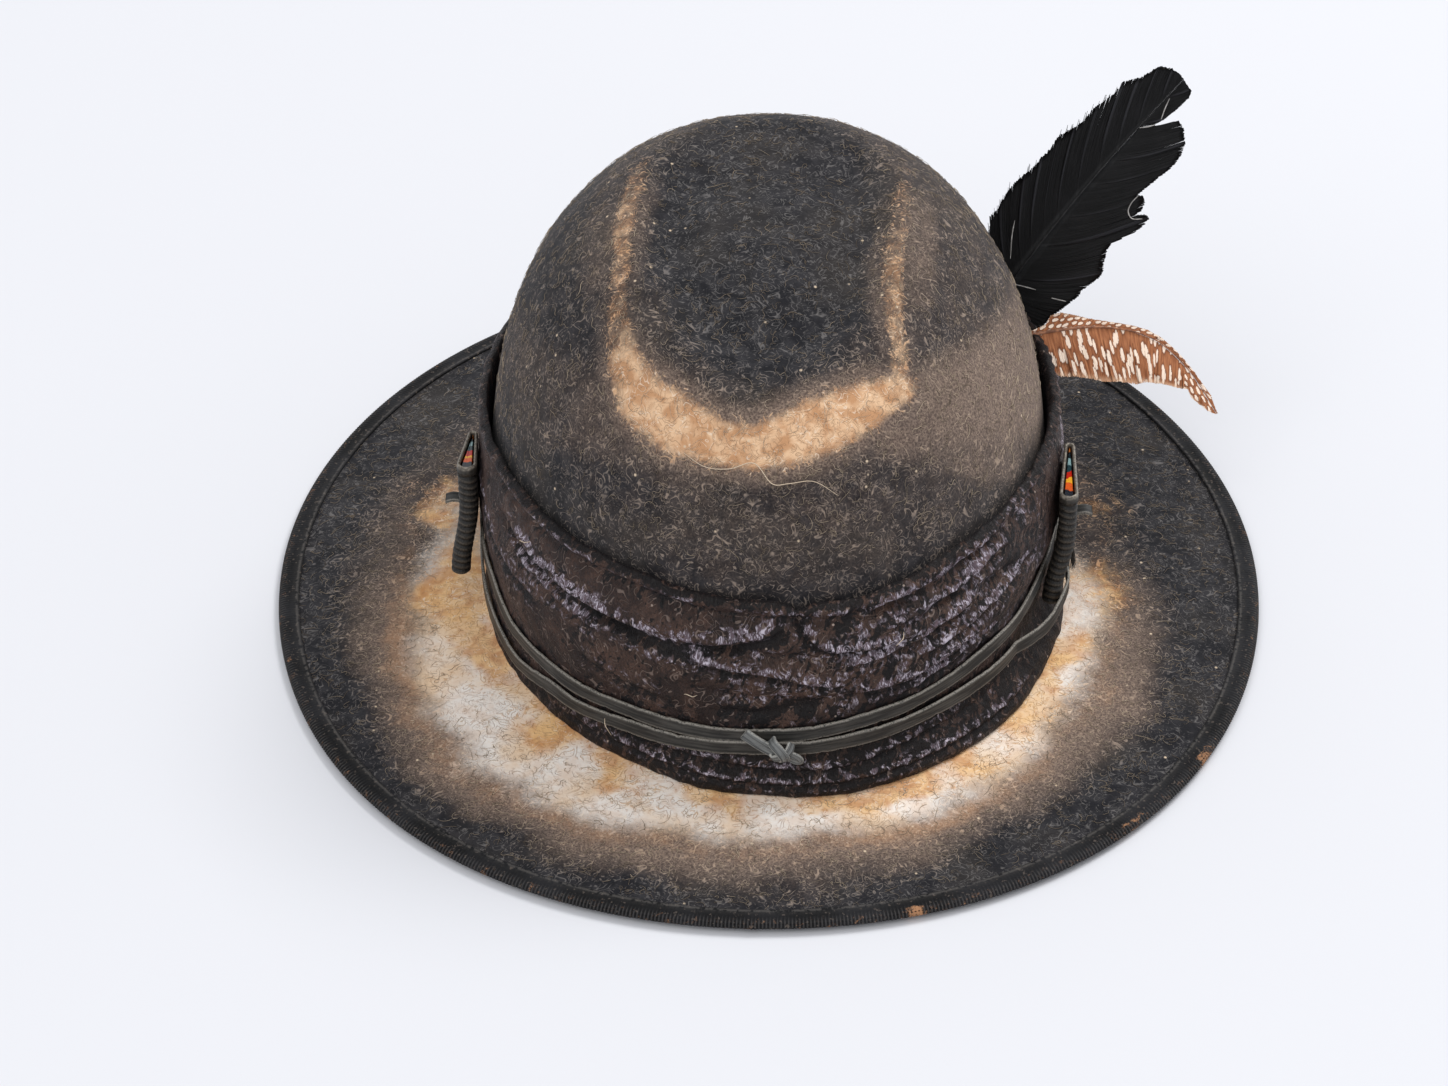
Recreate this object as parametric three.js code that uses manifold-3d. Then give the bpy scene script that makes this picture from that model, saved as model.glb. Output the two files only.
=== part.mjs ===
// A felt western hat lying on its brim, with a wide velvet band, two leather laces, a lace-wound
// ornament at each side and two feathers. Sizes are in millimetres. +Z is up from the surface the brim
// rests on, the front of the hat faces -Y, and the origin is the middle of the brim's outline.

import * as THREE from 'three';
import Module from 'manifold-3d';

const wasm = await Module();
wasm.setup();

const TAU = Math.PI * 2;
const GAP = 0.3;
const STATIONS = 56;

const felt = { thickness: 2.2 };
const crown = { halfWidth: 86.5, halfLength: 102.5, middleY: -5, foot: 8, height: 146.5,
  lean: 0.01, side: 3.65, shoulder: 2.07, rings: 13 };
const dent = { halfWidth: 42, halfLength: 72, middleY: -15, depth: 10, innerEdge: 0.62, outerEdge: 1.02,
  fadeFrom: 2, fadeTo: 46 };
const brim = { halfWidth: 155, halfLength: 169, fullness: 0.016, footRadius: 5, flatRim: 8, drop: 1.3 };
const binding = { thickness: 0.65, top: 6.6, under: 6.2, corner: 1.5 };
const band = { foot: 9.2, evenTo: 56, topRow: 74.5, hemRise: 2.1, standOff: 1.8, clear: 0.4,
  footThickness: 0.8, hemTuck: 0.7, waistBelow: 2.66, waistAbove: 2.66, fillOver: 10 };
const lace = { width: 3.8, thickness: 1.5, clearance: 0.45 };

const feltUnder = binding.thickness + GAP;
const feltTop = feltUnder + felt.thickness;
const bindingTop = feltTop + GAP + binding.thickness;
const feltEdge = binding.thickness + GAP;

const feltGrey = new THREE.MeshStandardMaterial({ color: 0x3b3a3a, roughness: 0.95, metalness: 0 });
const ribbonBlack = new THREE.MeshStandardMaterial({ color: 0x1d1d1f, roughness: 0.8, metalness: 0 });
const velvetBrown = new THREE.MeshStandardMaterial({ color: 0x3c2f2c, roughness: 0.6, metalness: 0 });
const laceGrey = new THREE.MeshStandardMaterial({ color: 0x4d504c, roughness: 0.65, metalness: 0 });
const leatherDark = new THREE.MeshStandardMaterial({ color: 0x2f2c2a, roughness: 0.6, metalness: 0 });
const rimBeige = new THREE.MeshStandardMaterial({ color: 0x8c857a, roughness: 0.5, metalness: 0.3 });
const inlayAmber = new THREE.MeshStandardMaterial({ color: 0xb8551c, roughness: 0.25, metalness: 0 });
const featherBlack = new THREE.MeshStandardMaterial({ color: 0x101012, roughness: 0.55, metalness: 0 });
const featherBrown = new THREE.MeshStandardMaterial({ color: 0xa06a46, roughness: 0.6, metalness: 0 });

const hat = new THREE.Group();

function addPiece(name, geometry, material) {
  const mesh = new THREE.Mesh(geometry, material);
  mesh.name = name;
  hat.add(mesh);
}

function clamp01(x) {
  return Math.min(1, Math.max(0, x));
}

function smooth(from, to, x) {
  const t = clamp01((x - from) / (to - from));
  return t * t * (3 - 2 * t);
}

// One closed body from rings of points. A ring of one point is a pole, and a loop joins its last ring
// to its first.
function bodyFrom(rings, loop = false) {
  const points = rings.flat();
  const starts = [];
  let count = 0;
  for (const ring of rings) {
    starts.push(count);
    count += ring.length;
  }
  const faces = [];
  const lastRing = loop ? rings.length : rings.length - 1;
  for (let i = 0; i < lastRing; i++) {
    const j = (i + 1) % rings.length;
    const size = Math.max(rings[i].length, rings[j].length);
    for (let k = 0; k < size; k++) {
      const next = (k + 1) % size;
      const a = starts[i] + k % rings[i].length;
      const b = starts[i] + next % rings[i].length;
      const c = starts[j] + k % rings[j].length;
      const d = starts[j] + next % rings[j].length;
      if (a !== b) faces.push([a, b, c]);
      if (c !== d) faces.push([b, d, c]);
    }
  }
  let volume = 0;
  for (const [a, b, c] of faces) volume += points[a].dot(points[b].clone().cross(points[c]));
  const outward = volume > 0 ? faces : faces.map(([a, b, c]) => [a, c, b]);
  const geometry = new THREE.BufferGeometry().setFromPoints(points);
  geometry.setIndex(outward.flat());
  geometry.computeVertexNormals();
  return geometry;
}

// Sections with flat ends, each end closed by a fan round its middle.
function loft(sections) {
  const middle = (ring) => {
    const sum = ring.reduce((total, p) => total.add(p), new THREE.Vector3());
    return [sum.divideScalar(ring.length)];
  };
  return bodyFrom([middle(sections[0]), ...sections, middle(sections.at(-1))]);
}

function toManifold(geometry) {
  const vertProperties = new Float32Array(geometry.getAttribute('position').array);
  const triVerts = new Uint32Array(geometry.getIndex().array);
  return new wasm.Manifold(new wasm.Mesh({ numProp: 3, vertProperties, triVerts }));
}

function fromManifold(manifold) {
  const mesh = manifold.getMesh();
  const geometry = new THREE.BufferGeometry();
  geometry.setAttribute('position', new THREE.BufferAttribute(new Float32Array(mesh.vertProperties), 3));
  geometry.setIndex(new THREE.BufferAttribute(new Uint32Array(mesh.triVerts), 1));
  geometry.computeVertexNormals();
  return geometry;
}

// Going round the hat: angle 0 is the wearer's side at +X and a quarter turn is the back.
const stationAngles = Array.from({ length: STATIONS }, (_, i) => (i / STATIONS) * TAU);

function ringAt(pointAt) {
  return stationAngles.map((angle) => pointAt(angle));
}

// The same place in degrees, from -180 to 180.
function degreesOf(angle) {
  return (((angle * 360) / TAU + 540) % 360) - 180;
}

// Reads one column of a table whose rows are places round the hat, in degrees, eased from row to row.
function around(rows, column, angle) {
  const degrees = degreesOf(angle);
  let before = rows.at(-1);
  let start = before.at - 360;
  for (const row of rows) {
    if (row.at > degrees) {
      return THREE.MathUtils.lerp(before[column], row[column], smooth(start, row.at, degrees));
    }
    before = row;
    start = row.at;
  }
  return THREE.MathUtils.lerp(before[column], rows[0][column], smooth(start, rows[0].at + 360, degrees));
}

// Crown: an egg-round plan that holds its width to the shoulder and rounds over the top.
function crownShare(z) {
  const t = clamp01((z - crown.foot) / crown.height);
  return (1 - crown.lean * t) * Math.pow(Math.max(0, 1 - Math.pow(t, crown.side)), 1 / crown.shoulder);
}

// A point on the crown's side, or proud of it.
function crownPoint(angle, z, proud = 0) {
  const share = crownShare(z);
  const x = (crown.halfWidth * share + proud) * Math.cos(angle);
  const y = crown.middleY + (crown.halfLength * share + proud) * Math.sin(angle);
  return new THREE.Vector3(x, y, z);
}

// The shallow pressed hollow in the top, closed at the front and running out towards the back.
function dentDrop(x, y) {
  const reach = Math.hypot(x / dent.halfWidth, (y - dent.middleY) / dent.halfLength);
  const inside = 1 - smooth(dent.innerEdge, dent.outerEdge, reach);
  return dent.depth * inside * (1 - smooth(dent.fadeFrom, dent.fadeTo, y));
}

function dentedPoint(angle, z) {
  const p = crownPoint(angle, z);
  p.z -= dentDrop(p.x, p.y);
  return p;
}

// The brim's outline: an oval, slightly fuller at its front quarters.
function brimOutline(angle, inset, z) {
  const front = Math.sin(angle) < 0 ? brim.fullness * Math.sin(2 * angle) ** 2 : 0;
  const x = (brim.halfWidth - inset) * (1 + front) * Math.cos(angle);
  const y = (brim.halfLength - inset) * (1 + front) * Math.sin(angle);
  return new THREE.Vector3(x, y, z);
}

// Brim: share 0 is where it leaves the crown's fillet and share 1 is the felt's cut edge.
function brimPoint(angle, share) {
  const foot = crownPoint(angle, crown.foot, brim.footRadius);
  const edge = brimOutline(angle, feltEdge, feltTop);
  const flatFrom = 1 - brim.flatRim / (brim.halfWidth - crown.halfWidth - brim.footRadius);
  const fall = Math.pow(clamp01(share / flatFrom), brim.drop);
  return foot.lerp(edge, share).setZ(THREE.MathUtils.lerp(crown.foot, feltTop, fall));
}

// The fillet between crown and brim, as two flats: how far each corner stands off the wall, and its
// height.
const filletCorners = [
  { proud: 0, z: crown.foot + brim.footRadius },
  { proud: brim.footRadius * 0.3, z: crown.foot + brim.footRadius * 0.28 },
  { proud: brim.footRadius, z: crown.foot },
];

function filletHeight(proud) {
  const [high, middle, low] = filletCorners;
  if (proud < middle.proud) return THREE.MathUtils.mapLinear(proud, 0, middle.proud, high.z, middle.z);
  return THREE.MathUtils.mapLinear(Math.min(proud, low.proud), middle.proud, low.proud, middle.z, low.z);
}

const crownHeights = [];
for (let i = 1; i < crown.rings; i++) {
  const turn = (Math.PI / 2) * (1 - i / crown.rings);
  crownHeights.push(crown.foot + crown.height * Math.pow(Math.sin(turn), 2 / crown.side));
}
const wallHeights = [34, crown.foot + brim.footRadius];
const brimShares = [0.2, 0.42, 0.65, 0.88, 1];

// One shell: the outside skin, and an inside skin one felt thickness under it.
function feltBody() {
  const apex = dentedPoint(0, crown.foot + crown.height);
  apex.x = 0;
  apex.y = crown.middleY;
  const outer = [[apex]];
  for (const z of crownHeights) outer.push(ringAt((angle) => dentedPoint(angle, z)));
  for (const z of wallHeights) outer.push(ringAt((angle) => crownPoint(angle, z)));
  for (const { proud, z } of filletCorners.slice(1)) {
    outer.push(ringAt((angle) => crownPoint(angle, crown.foot, proud).setZ(z)));
  }
  for (const share of brimShares) outer.push(ringAt((angle) => brimPoint(angle, share)));
  const skin = bodyFrom(outer);
  const normals = skin.getAttribute('normal');
  const inner = [];
  let index = 0;
  for (const ring of outer) {
    inner.push(ring.map((p) => {
      const normal = new THREE.Vector3().fromBufferAttribute(normals, index);
      index += 1;
      if (normal.z < 0) normal.negate();
      return p.clone().addScaledVector(normal, -felt.thickness);
    }));
  }
  const edge = outer.at(-1);
  inner[inner.length - 1] = edge.map((p) => new THREE.Vector3(p.x, p.y, feltUnder));
  return bodyFrom([...outer, ...inner.reverse()]);
}

// Ribbon folded over the brim's edge. Each corner is its distance in from the edge and its height.
function brimBinding() {
  const low = binding.thickness;
  const high = bindingTop - binding.thickness;
  const corners = [
    { inset: binding.top, z: high },
    { inset: binding.top, z: bindingTop },
    { inset: binding.corner, z: bindingTop },
    { inset: binding.corner * 0.27, z: bindingTop * 0.84 },
    { inset: 0, z: bindingTop / 2 },
    { inset: binding.corner * 0.27, z: bindingTop * 0.16 },
    { inset: binding.corner, z: 0 },
    { inset: binding.under, z: 0 },
    { inset: binding.under, z: low },
    { inset: binding.thickness, z: low },
    { inset: binding.thickness, z: high },
  ];
  const ring = ({ inset, z }) => ringAt((angle) => brimOutline(angle, inset, z));
  return bodyFrom(corners.map(ring), true);
}

// How far the velvet stands off the crown at its foot, under the laces, at its middle and at the top
// hem, and how high the hem stands.
const bandForm = [
  { at: -180, foot: 2.2, waist: 2, middle: 3.6, top: 4.2, hem: 76.6 },
  { at: -150, foot: 3.8, waist: 3, middle: 4.4, top: 3.6, hem: 77.4 },
  { at: -120, foot: 5.2, waist: 4.5, middle: 5.6, top: 3.4, hem: 76 },
  { at: -97, foot: 9.2, waist: 6.2, middle: 6.8, top: 3.6, hem: 73.3 },
  { at: -75, foot: 12, waist: 6.8, middle: 7.6, top: 3.8, hem: 70.8 },
  { at: -45, foot: 11.4, waist: 5, middle: 6.8, top: 3.8, hem: 75.5 },
  { at: -20, foot: 8.4, waist: 2, middle: 5.4, top: 4.2, hem: 77 },
  { at: 0, foot: 6, waist: 2.6, middle: 5.2, top: 4.8, hem: 76.6 },
  { at: 60, foot: 5.5, waist: 3.4, middle: 5, top: 4.4, hem: 76.6 },
  { at: 120, foot: 4.6, waist: 3, middle: 4.6, top: 4.4, hem: 76.6 },
];

// Heights of the two laces round the hat.
const laceLine = [
  { at: -180, upper: 34, lower: 23 },
  { at: -161, upper: 32, lower: 18 },
  { at: -148, upper: 26.6, lower: 16 },
  { at: -133, upper: 26.6, lower: 20 },
  { at: -112, upper: 28.4, lower: 23 },
  { at: -90, upper: 29, lower: 24.7 },
  { at: -66, upper: 32, lower: 25.7 },
  { at: -40, upper: 35, lower: 25.6 },
  { at: -22, upper: 34.5, lower: 26 },
  { at: 0, upper: 36, lower: 30.4 },
  { at: 60, upper: 33, lower: 26 },
  { at: 120, upper: 33, lower: 25 },
];

// Long creases pressed into the velvet, each from one place round the hat to another.
const creases = [
  { from: -158, to: -128, low: 62, high: 55.5, depth: 1.8, width: 2.4 },
  { from: -136, to: -92, low: 55.5, high: 58.5, depth: 2.6, width: 2.4 },
  { from: -100, to: -68, low: 59, high: 52.5, depth: 2.4, width: 2.4 },
  { from: -108, to: -70, low: 44, high: 39, depth: 1.8, width: 2.2 },
  { from: -74, to: -34, low: 47, high: 60, depth: 1.8, width: 2.4 },
  { from: -66, to: -24, low: 66, high: 52, depth: 1.4, width: 2.2 },
  { from: 8, to: 84, low: 58, high: 50, depth: 1.8, width: 2.6 },
  { from: 70, to: 150, low: 44, high: 56, depth: 1.8, width: 2.6 },
];

// Depth of the creases at a place: each is full over its length and runs out at both ends.
const creaseEnd = 0.22;

function creaseDip(angle, z) {
  const degrees = degreesOf(angle);
  let dip = 0;
  for (const crease of creases) {
    const along = (degrees - crease.from) / (crease.to - crease.from);
    if (along > 0 && along < 1) {
      const strength = smooth(0, creaseEnd, along) * smooth(0, creaseEnd, 1 - along);
      const away = (z - THREE.MathUtils.lerp(crease.low, crease.high, along)) / crease.width;
      dip += crease.depth * strength * Math.exp(-away * away);
    }
  }
  return dip;
}

// How far the velvet's outside stands off the crown at a height: flared foot, waist under the laces,
// full middle.
function velvetProud(angle, z) {
  const foot = around(bandForm, 'foot', angle);
  const waist = around(bandForm, 'waist', angle);
  const middle = around(bandForm, 'middle', angle);
  const top = around(bandForm, 'top', angle);
  const low = around(laceLine, 'lower', angle) - band.waistBelow;
  const high = around(laceLine, 'upper', angle) + band.waistAbove;
  const flared = THREE.MathUtils.lerp(foot, waist, smooth(band.foot, low, z));
  const filled = THREE.MathUtils.lerp(flared, middle, smooth(high, high + band.fillOver, z));
  const closed = THREE.MathUtils.lerp(filled, top, smooth(band.evenTo, band.topRow, z));
  return closed - creaseDip(angle, z);
}

const velvetHeights = [band.topRow, 69, 64, 60, band.evenTo, 51, 46, 42, 38, 34, 30, 25, 20, 14.5, band.foot];

// The rows above the even part close up or open out so that the top one follows the hem.
function rowHeight(angle, z) {
  const top = around(bandForm, 'hem', angle) - band.hemRise;
  return z > band.evenTo ? THREE.MathUtils.mapLinear(z, band.evenTo, band.topRow, band.evenTo, top) : z;
}

// The same measure read off the straight facets between the velvet's rows.
function velvetFacetProud(angle, z) {
  const above = velvetHeights.findLastIndex((height) => height >= z);
  const low = velvetHeights[above + 1];
  const high = velvetHeights[above];
  return THREE.MathUtils.lerp(velvetProud(angle, low), velvetProud(angle, high), (z - low) / (high - low));
}

// The band is a padded wrap: its inside follows the crown and the fillet, and its outside the form above.
const bandInner = { aboveFillet: 0.6, overMiddle: 1.9, overMiddleLift: 0.8, footProud: 2.1 };

function hatBand() {
  const lowest = crown.foot + brim.footRadius + bandInner.aboveFillet;
  const wallRows = [
    ...crownHeights.filter((z) => z < band.evenTo),
    ...wallHeights.map((z) => Math.max(z, lowest)),
  ];
  const rings = [ringAt((angle) => crownPoint(angle, rowHeight(angle, band.topRow), band.standOff))];
  for (const z of wallRows) rings.push(ringAt((angle) => crownPoint(angle, z, band.clear)));
  const overMiddle = filletHeight(bandInner.overMiddle) + bandInner.overMiddleLift;
  rings.push(ringAt((angle) => crownPoint(angle, overMiddle, bandInner.overMiddle)));
  rings.push(ringAt((angle) => {
    const proud = Math.max(bandInner.footProud, velvetProud(angle, band.foot) - band.footThickness);
    return crownPoint(angle, filletHeight(proud) + band.clear, proud);
  }));
  for (const z of velvetHeights.toReversed()) {
    rings.push(ringAt((angle) => {
      const proud = velvetProud(angle, z);
      const lowestHere = filletHeight(proud) + bandInner.aboveFillet;
      return crownPoint(angle, Math.max(rowHeight(angle, z), lowestHere), proud);
    }));
  }
  rings.push(ringAt((angle) => {
    const hem = around(bandForm, 'hem', angle);
    return crownPoint(angle, hem, velvetProud(angle, band.topRow) - band.hemTuck);
  }));
  return bodyFrom(rings, true);
}

// On the right the lower lace passes outside the ornament's foot, which lifts it off the velvet. The upper
// one passes inside the ornament and stays on the velvet.
const ornamentLift = { at: -22, hold: 4, ahead: 20, behind: 14, upper: 0, lower: 9.1 };

function laceProud(angle, which) {
  const height = around(laceLine, which, angle);
  let proud = 0;
  for (let step = -1; step <= 1; step += 0.25) {
    proud = Math.max(proud, velvetFacetProud(angle, height + (step * lace.width) / 2));
  }
  const offset = degreesOf(angle) - ornamentLift.at;
  const away = Math.max(0, Math.abs(offset) - ornamentLift.hold);
  const fade = offset < 0 ? ornamentLift.ahead : ornamentLift.behind;
  const lifted = ornamentLift[which] * (1 - smooth(0, fade, away));
  return Math.max(proud + lace.clearance, lifted);
}

// A flat lace wound once round the band.
function laceLoop(which) {
  const corner = (side, out) => ringAt((angle) => {
    const height = around(laceLine, which, angle);
    const proud = laceProud(angle, which) + out * lace.thickness;
    return crownPoint(angle, height, proud).setZ(height + (side * lace.width) / 2);
  });
  return bodyFrom([corner(-1, 0), corner(-1, 1), corner(1, 1), corner(1, 0)], true);
}

// A rounded cushion shape with given half sizes, turned in the X-Z plane and moved to its place.
function cushion(half, turn, place) {
  const rings = [[new THREE.Vector3(0, -half.y, 0)]];
  const rows = 5;
  const sides = 12;
  const squareness = 0.6;
  for (let i = 1; i < rows; i++) {
    const up = -Math.PI / 2 + (Math.PI * i) / rows;
    const wide = Math.cos(up) ** squareness;
    const ring = [];
    for (let k = 0; k < sides; k++) {
      const round = (k / sides) * TAU;
      const x = half.x * wide * Math.cos(round);
      const z = half.z * wide * Math.sin(round);
      ring.push(new THREE.Vector3(x, half.y * Math.sin(up), z));
    }
    rings.push(ring);
  }
  rings.push([new THREE.Vector3(0, half.y, 0)]);
  const geometry = bodyFrom(rings);
  geometry.rotateY(turn);
  geometry.translate(place.x, place.y, place.z);
  return toManifold(geometry);
}

// Knot at the front: a strip crossing both laces, a wrapped knob and a folded tip.
function laceKnot() {
  const front = -Math.PI / 2;
  const reach = Math.max(laceProud(front, 'upper'), laceProud(front, 'lower')) + lace.thickness + GAP;
  const knotHeight = 27;
  const face = crownPoint(front, knotHeight, reach).y - 0.1;
  const strip = cushion({ x: 6.4, y: 1.1, z: 2 }, 0.75, { x: -2.4, y: face - 1.1, z: 27.8 });
  const knob = cushion({ x: 4.2, y: 2.2, z: 3.4 }, 0.35, { x: 3.4, y: face - 2.2, z: 25.9 });
  const tip = cushion({ x: 3.2, y: 1.4, z: 1.8 }, 0.6, { x: 7.6, y: face - 1.5, z: 23.6 });
  return fromManifold(strip.add(knob).add(tip));
}

// Side ornaments: a wound column at the near end, drawn out to a thin end that lies against the velvet.
// The foot is shifted towards -X from the place of the top.
const ornaments = [
  {
    side: 'left',
    near: { x: -91.6, y: -27.6, r: 2.9 },
    far: { x: -90.6, y: -12, r: 1.4 },
    footShare: 0.2,
    stepFrom: 27,
    footShift: 3.4,
  },
  {
    side: 'right',
    near: { x: 90.4, y: -42.8, r: 2.7 },
    far: { x: 92, y: -18.6, r: 1.5 },
    footShare: 0.1,
    stepFrom: 39,
    footShift: 3.8,
  },
];
const ornament = { foot: 24, top: 61.2, stepUp: 14, leanTo: 50, turns: 13, groove: 0.3, rimTop: 65,
  rimWall: 0.9, rimProud: 0.1, inlayTop: 64, sides: 10 };

// A drop-shaped outline round two circles, grown or shrunk by a margin.
function dropOutline({ near, far }, z, margin, length = 1) {
  const axis = new THREE.Vector2(far.x - near.x, far.y - near.y);
  const span = axis.length() * length;
  const heading = Math.atan2(axis.y, axis.x);
  const farRadius = THREE.MathUtils.lerp(near.r, far.r, length);
  const tilt = Math.acos((near.r - farRadius) / span);
  const half = ornament.sides / 2;
  const arc = (x, y, radius, from, turn) => Array.from({ length: half }, (_, i) => {
    const a = from + (turn * i) / (half - 1);
    return new THREE.Vector3(x + radius * Math.cos(a), y + radius * Math.sin(a), z);
  });
  const farX = near.x + span * Math.cos(heading);
  const farY = near.y + span * Math.sin(heading);
  return [
    ...arc(near.x, near.y, near.r + margin, heading + tilt, TAU - 2 * tilt),
    ...arc(farX, farY, farRadius + margin, heading - tilt, 2 * tilt),
  ];
}

// The wound column: a groove between each turn of lace and the next.
function plaque(shape) {
  const sections = [];
  const steps = ornament.turns * 2;
  for (let i = 0; i <= steps; i++) {
    const up = i / steps;
    const z = THREE.MathUtils.lerp(ornament.foot, ornament.top, up);
    const grown = smooth(shape.stepFrom, shape.stepFrom + ornament.stepUp, z);
    const length = THREE.MathUtils.lerp(shape.footShare, 1, grown);
    const margin = i % 2 === 0 ? -ornament.groove : 0;
    const endMargin = i === 0 || i === steps ? -ornament.groove * 2 : margin;
    const ring = dropOutline(shape, z, endMargin, length);
    const lean = shape.footShift * (1 - smooth(ornament.foot, ornament.leanTo, z));
    ring.forEach((p) => p.setX(p.x - lean));
    sections.push(ring);
  }
  return loft(sections);
}

function plaqueRim(shape) {
  const low = ornament.top + GAP;
  return bodyFrom([
    dropOutline(shape, low, ornament.rimProud),
    dropOutline(shape, ornament.rimTop, ornament.rimProud),
    dropOutline(shape, ornament.rimTop, -ornament.rimWall),
    dropOutline(shape, low, -ornament.rimWall),
  ], true);
}

function plaqueInlay(shape) {
  const low = ornament.top + GAP;
  const margin = -ornament.rimWall - GAP;
  return loft([dropOutline(shape, low, margin), dropOutline(shape, ornament.inlayTop, margin)]);
}

// A flat tapered strip of lace that stands out from a place towards a direction in plan.
function strapEnd(place, heading, size) {
  const out = new THREE.Vector3(Math.cos(heading), Math.sin(heading), 0);
  const side = new THREE.Vector3(-out.y, out.x, 0);
  const sections = [];
  for (const { along, rise, share } of size.steps) {
    const middle = place.clone().addScaledVector(out, along).add(new THREE.Vector3(0, 0, rise));
    const ring = [];
    for (const [across, up] of [[-1, -1], [1, -1], [1, 1], [-1, 1]]) {
      const p = middle.clone().addScaledVector(side, (across * size.width * share) / 2);
      ring.push(p.setZ(p.z + (up * size.thickness) / 2));
    }
    sections.push(ring);
  }
  return loft(sections);
}

const tabSize = { width: 4.4, thickness: 1.4, steps: [
  { along: 0, rise: 0, share: 1 },
  { along: 2.4, rise: 0.5, share: 1 },
  { along: 5, rise: -0.4, share: 0.85 },
] };

// A small bound lace end that hangs against the laces below the right ornament, wider towards its foot.
const tassel = { at: -10, middle: 30, standOff: 1.1, sides: 8, rings: [
  { z: 36.5, r: 0.8 },
  { z: 34, r: 1 },
  { z: 30, r: 1.9 },
  { z: 25, r: 2.2 },
  { z: 22.5, r: 1.7 },
] };

function tasselRight() {
  const angle = (tassel.at / 360) * TAU;
  const widest = Math.max(...tassel.rings.map(({ r }) => r));
  const outside = Math.max(laceProud(angle, 'upper'), laceProud(angle, 'lower')) + lace.thickness;
  const middle = crownPoint(angle, tassel.middle, outside + tassel.standOff + widest);
  return loft(tassel.rings.map(({ z, r }) => Array.from({ length: tassel.sides }, (_, i) => {
    const round = (i / tassel.sides) * TAU;
    return new THREE.Vector3(middle.x + r * Math.cos(round), middle.y + r * Math.sin(round), z);
  })));
}

// Feather outlines: places along the quill, and how far the vane reaches either side of it there.
const blackVane = [
  { along: -3, left: 0.45, right: 0.45 },
  { along: 0, left: 0.6, right: 0.6 },
  { along: 2.5, left: 1.4, right: 1.2 },
  { along: 5, left: 8, right: 14 },
  { along: 8, left: 12.5, right: 18.5 },
  { along: 17, left: 17.5, right: 21 },
  { along: 22, left: 19.5, right: 19.5 },
  { along: 26, left: 20.5, right: 22 },
  { along: 31, left: 19.8, right: 19.5 },
  { along: 38, left: 19, right: 17.5 },
  { along: 44, left: 18, right: 20 },
  { along: 50, left: 17, right: 20 },
  { along: 55, left: 16, right: 15 },
  { along: 60, left: 15.6, right: 14 },
  { along: 66, left: 15, right: 16.5 },
  { along: 71, left: 13.6, right: 16 },
  { along: 77, left: 12.8, right: 13.5 },
  { along: 82, left: 11.6, right: 7.6 },
  { along: 87, left: 9.6, right: 6.6 },
  { along: 91, left: 7, right: 4 },
];
const spottedVane = [
  { along: -3, left: 0.45, right: 0.45 },
  { along: 0, left: 0.6, right: 0.6 },
  { along: 5, left: 0.9, right: 1.2 },
  { along: 10, left: 2.4, right: 13 },
  { along: 18, left: 3, right: 17 },
  { along: 27, left: 2.8, right: 18.5 },
  { along: 36, left: 2.6, right: 16.5 },
  { along: 46, left: 2.2, right: 13.5 },
  { along: 55, left: 1.8, right: 9.6 },
  { along: 63, left: 1.4, right: 5.5 },
  { along: 69, left: 1, right: 2.6 },
  { along: 73, left: 0.6, right: 0.8 },
];

// Each feather's quill stands in the gap between the crown and the velvet's hem.
const feathers = {
  black: {
    root: crownPoint(TAU * 0.083, 77.6, 1.1),
    along: new THREE.Vector3(0.608, 0.051, 0.792),
    face: new THREE.Vector3(-0.281, -0.919, 0.276),
    vane: blackVane,
    length: 91,
    bow: 1.5,
    lift: 3.4,
    quill: 1.5,
    cup: 2.5,
  },
  spotted: {
    root: crownPoint(TAU * 0.049, 77.8, 1.1),
    along: new THREE.Vector3(0.859, 0.111, -0.5),
    face: new THREE.Vector3(0.25, -0.55, 0.8),
    vane: spottedVane,
    length: 73,
    bow: 14,
    lift: 0,
    quill: 1.2,
    cup: 1.5,
  },
};

// Across a feather: which side, how far down its cup, and how thick against the quill.
const vaneProfile = [
  { side: 1, depth: 1, thick: 0.3 },
  { side: 0.5, depth: 0.3, thick: 0.35 },
  { side: 0, depth: 0, thick: 1 },
  { side: -0.5, depth: 0.3, thick: 0.35 },
  { side: -1, depth: 1, thick: 0.3 },
];
const vaneLimits = { widest: 20, thinnest: 0.5, tipQuill: 0.7 };

// A feather: quill and both vanes as one thin body, bowed along its length and cupped across it.
function feather({ root, along, face, vane, length, bow, lift, quill, cup }) {
  const ahead = along.clone().normalize();
  const front = face.clone().addScaledVector(ahead, -face.dot(ahead)).normalize();
  const across = front.clone().cross(ahead);
  const upright = new THREE.Vector3(0, 0, 1);
  const sections = [];
  for (const row of vane) {
    const share = row.along / length;
    const middle = root.clone().addScaledVector(row.along > 0 ? ahead : upright, row.along);
    middle.addScaledVector(across, bow * 4 * clamp01(share) * (1 - clamp01(share)) + lift * clamp01(share));
    const wide = Math.max(row.left, row.right) / vaneLimits.widest;
    const half = THREE.MathUtils.lerp(quill, vaneLimits.tipQuill, clamp01(share)) / 2;
    const ring = vaneProfile.map(({ side, depth, thick }) => ({
      reach: side > 0 ? row.left * side : row.right * side,
      back: -cup * depth * wide,
      half: Math.max(vaneLimits.thinnest / 2, half * thick),
    }));
    const put = ({ reach, back, half: h }, sign) => middle.clone()
      .addScaledVector(across, reach).addScaledVector(front, back + sign * h);
    sections.push([...ring.map((p) => put(p, 1)), ...ring.toReversed().map((p) => put(p, -1))]);
  }
  return loft(sections);
}

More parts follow.
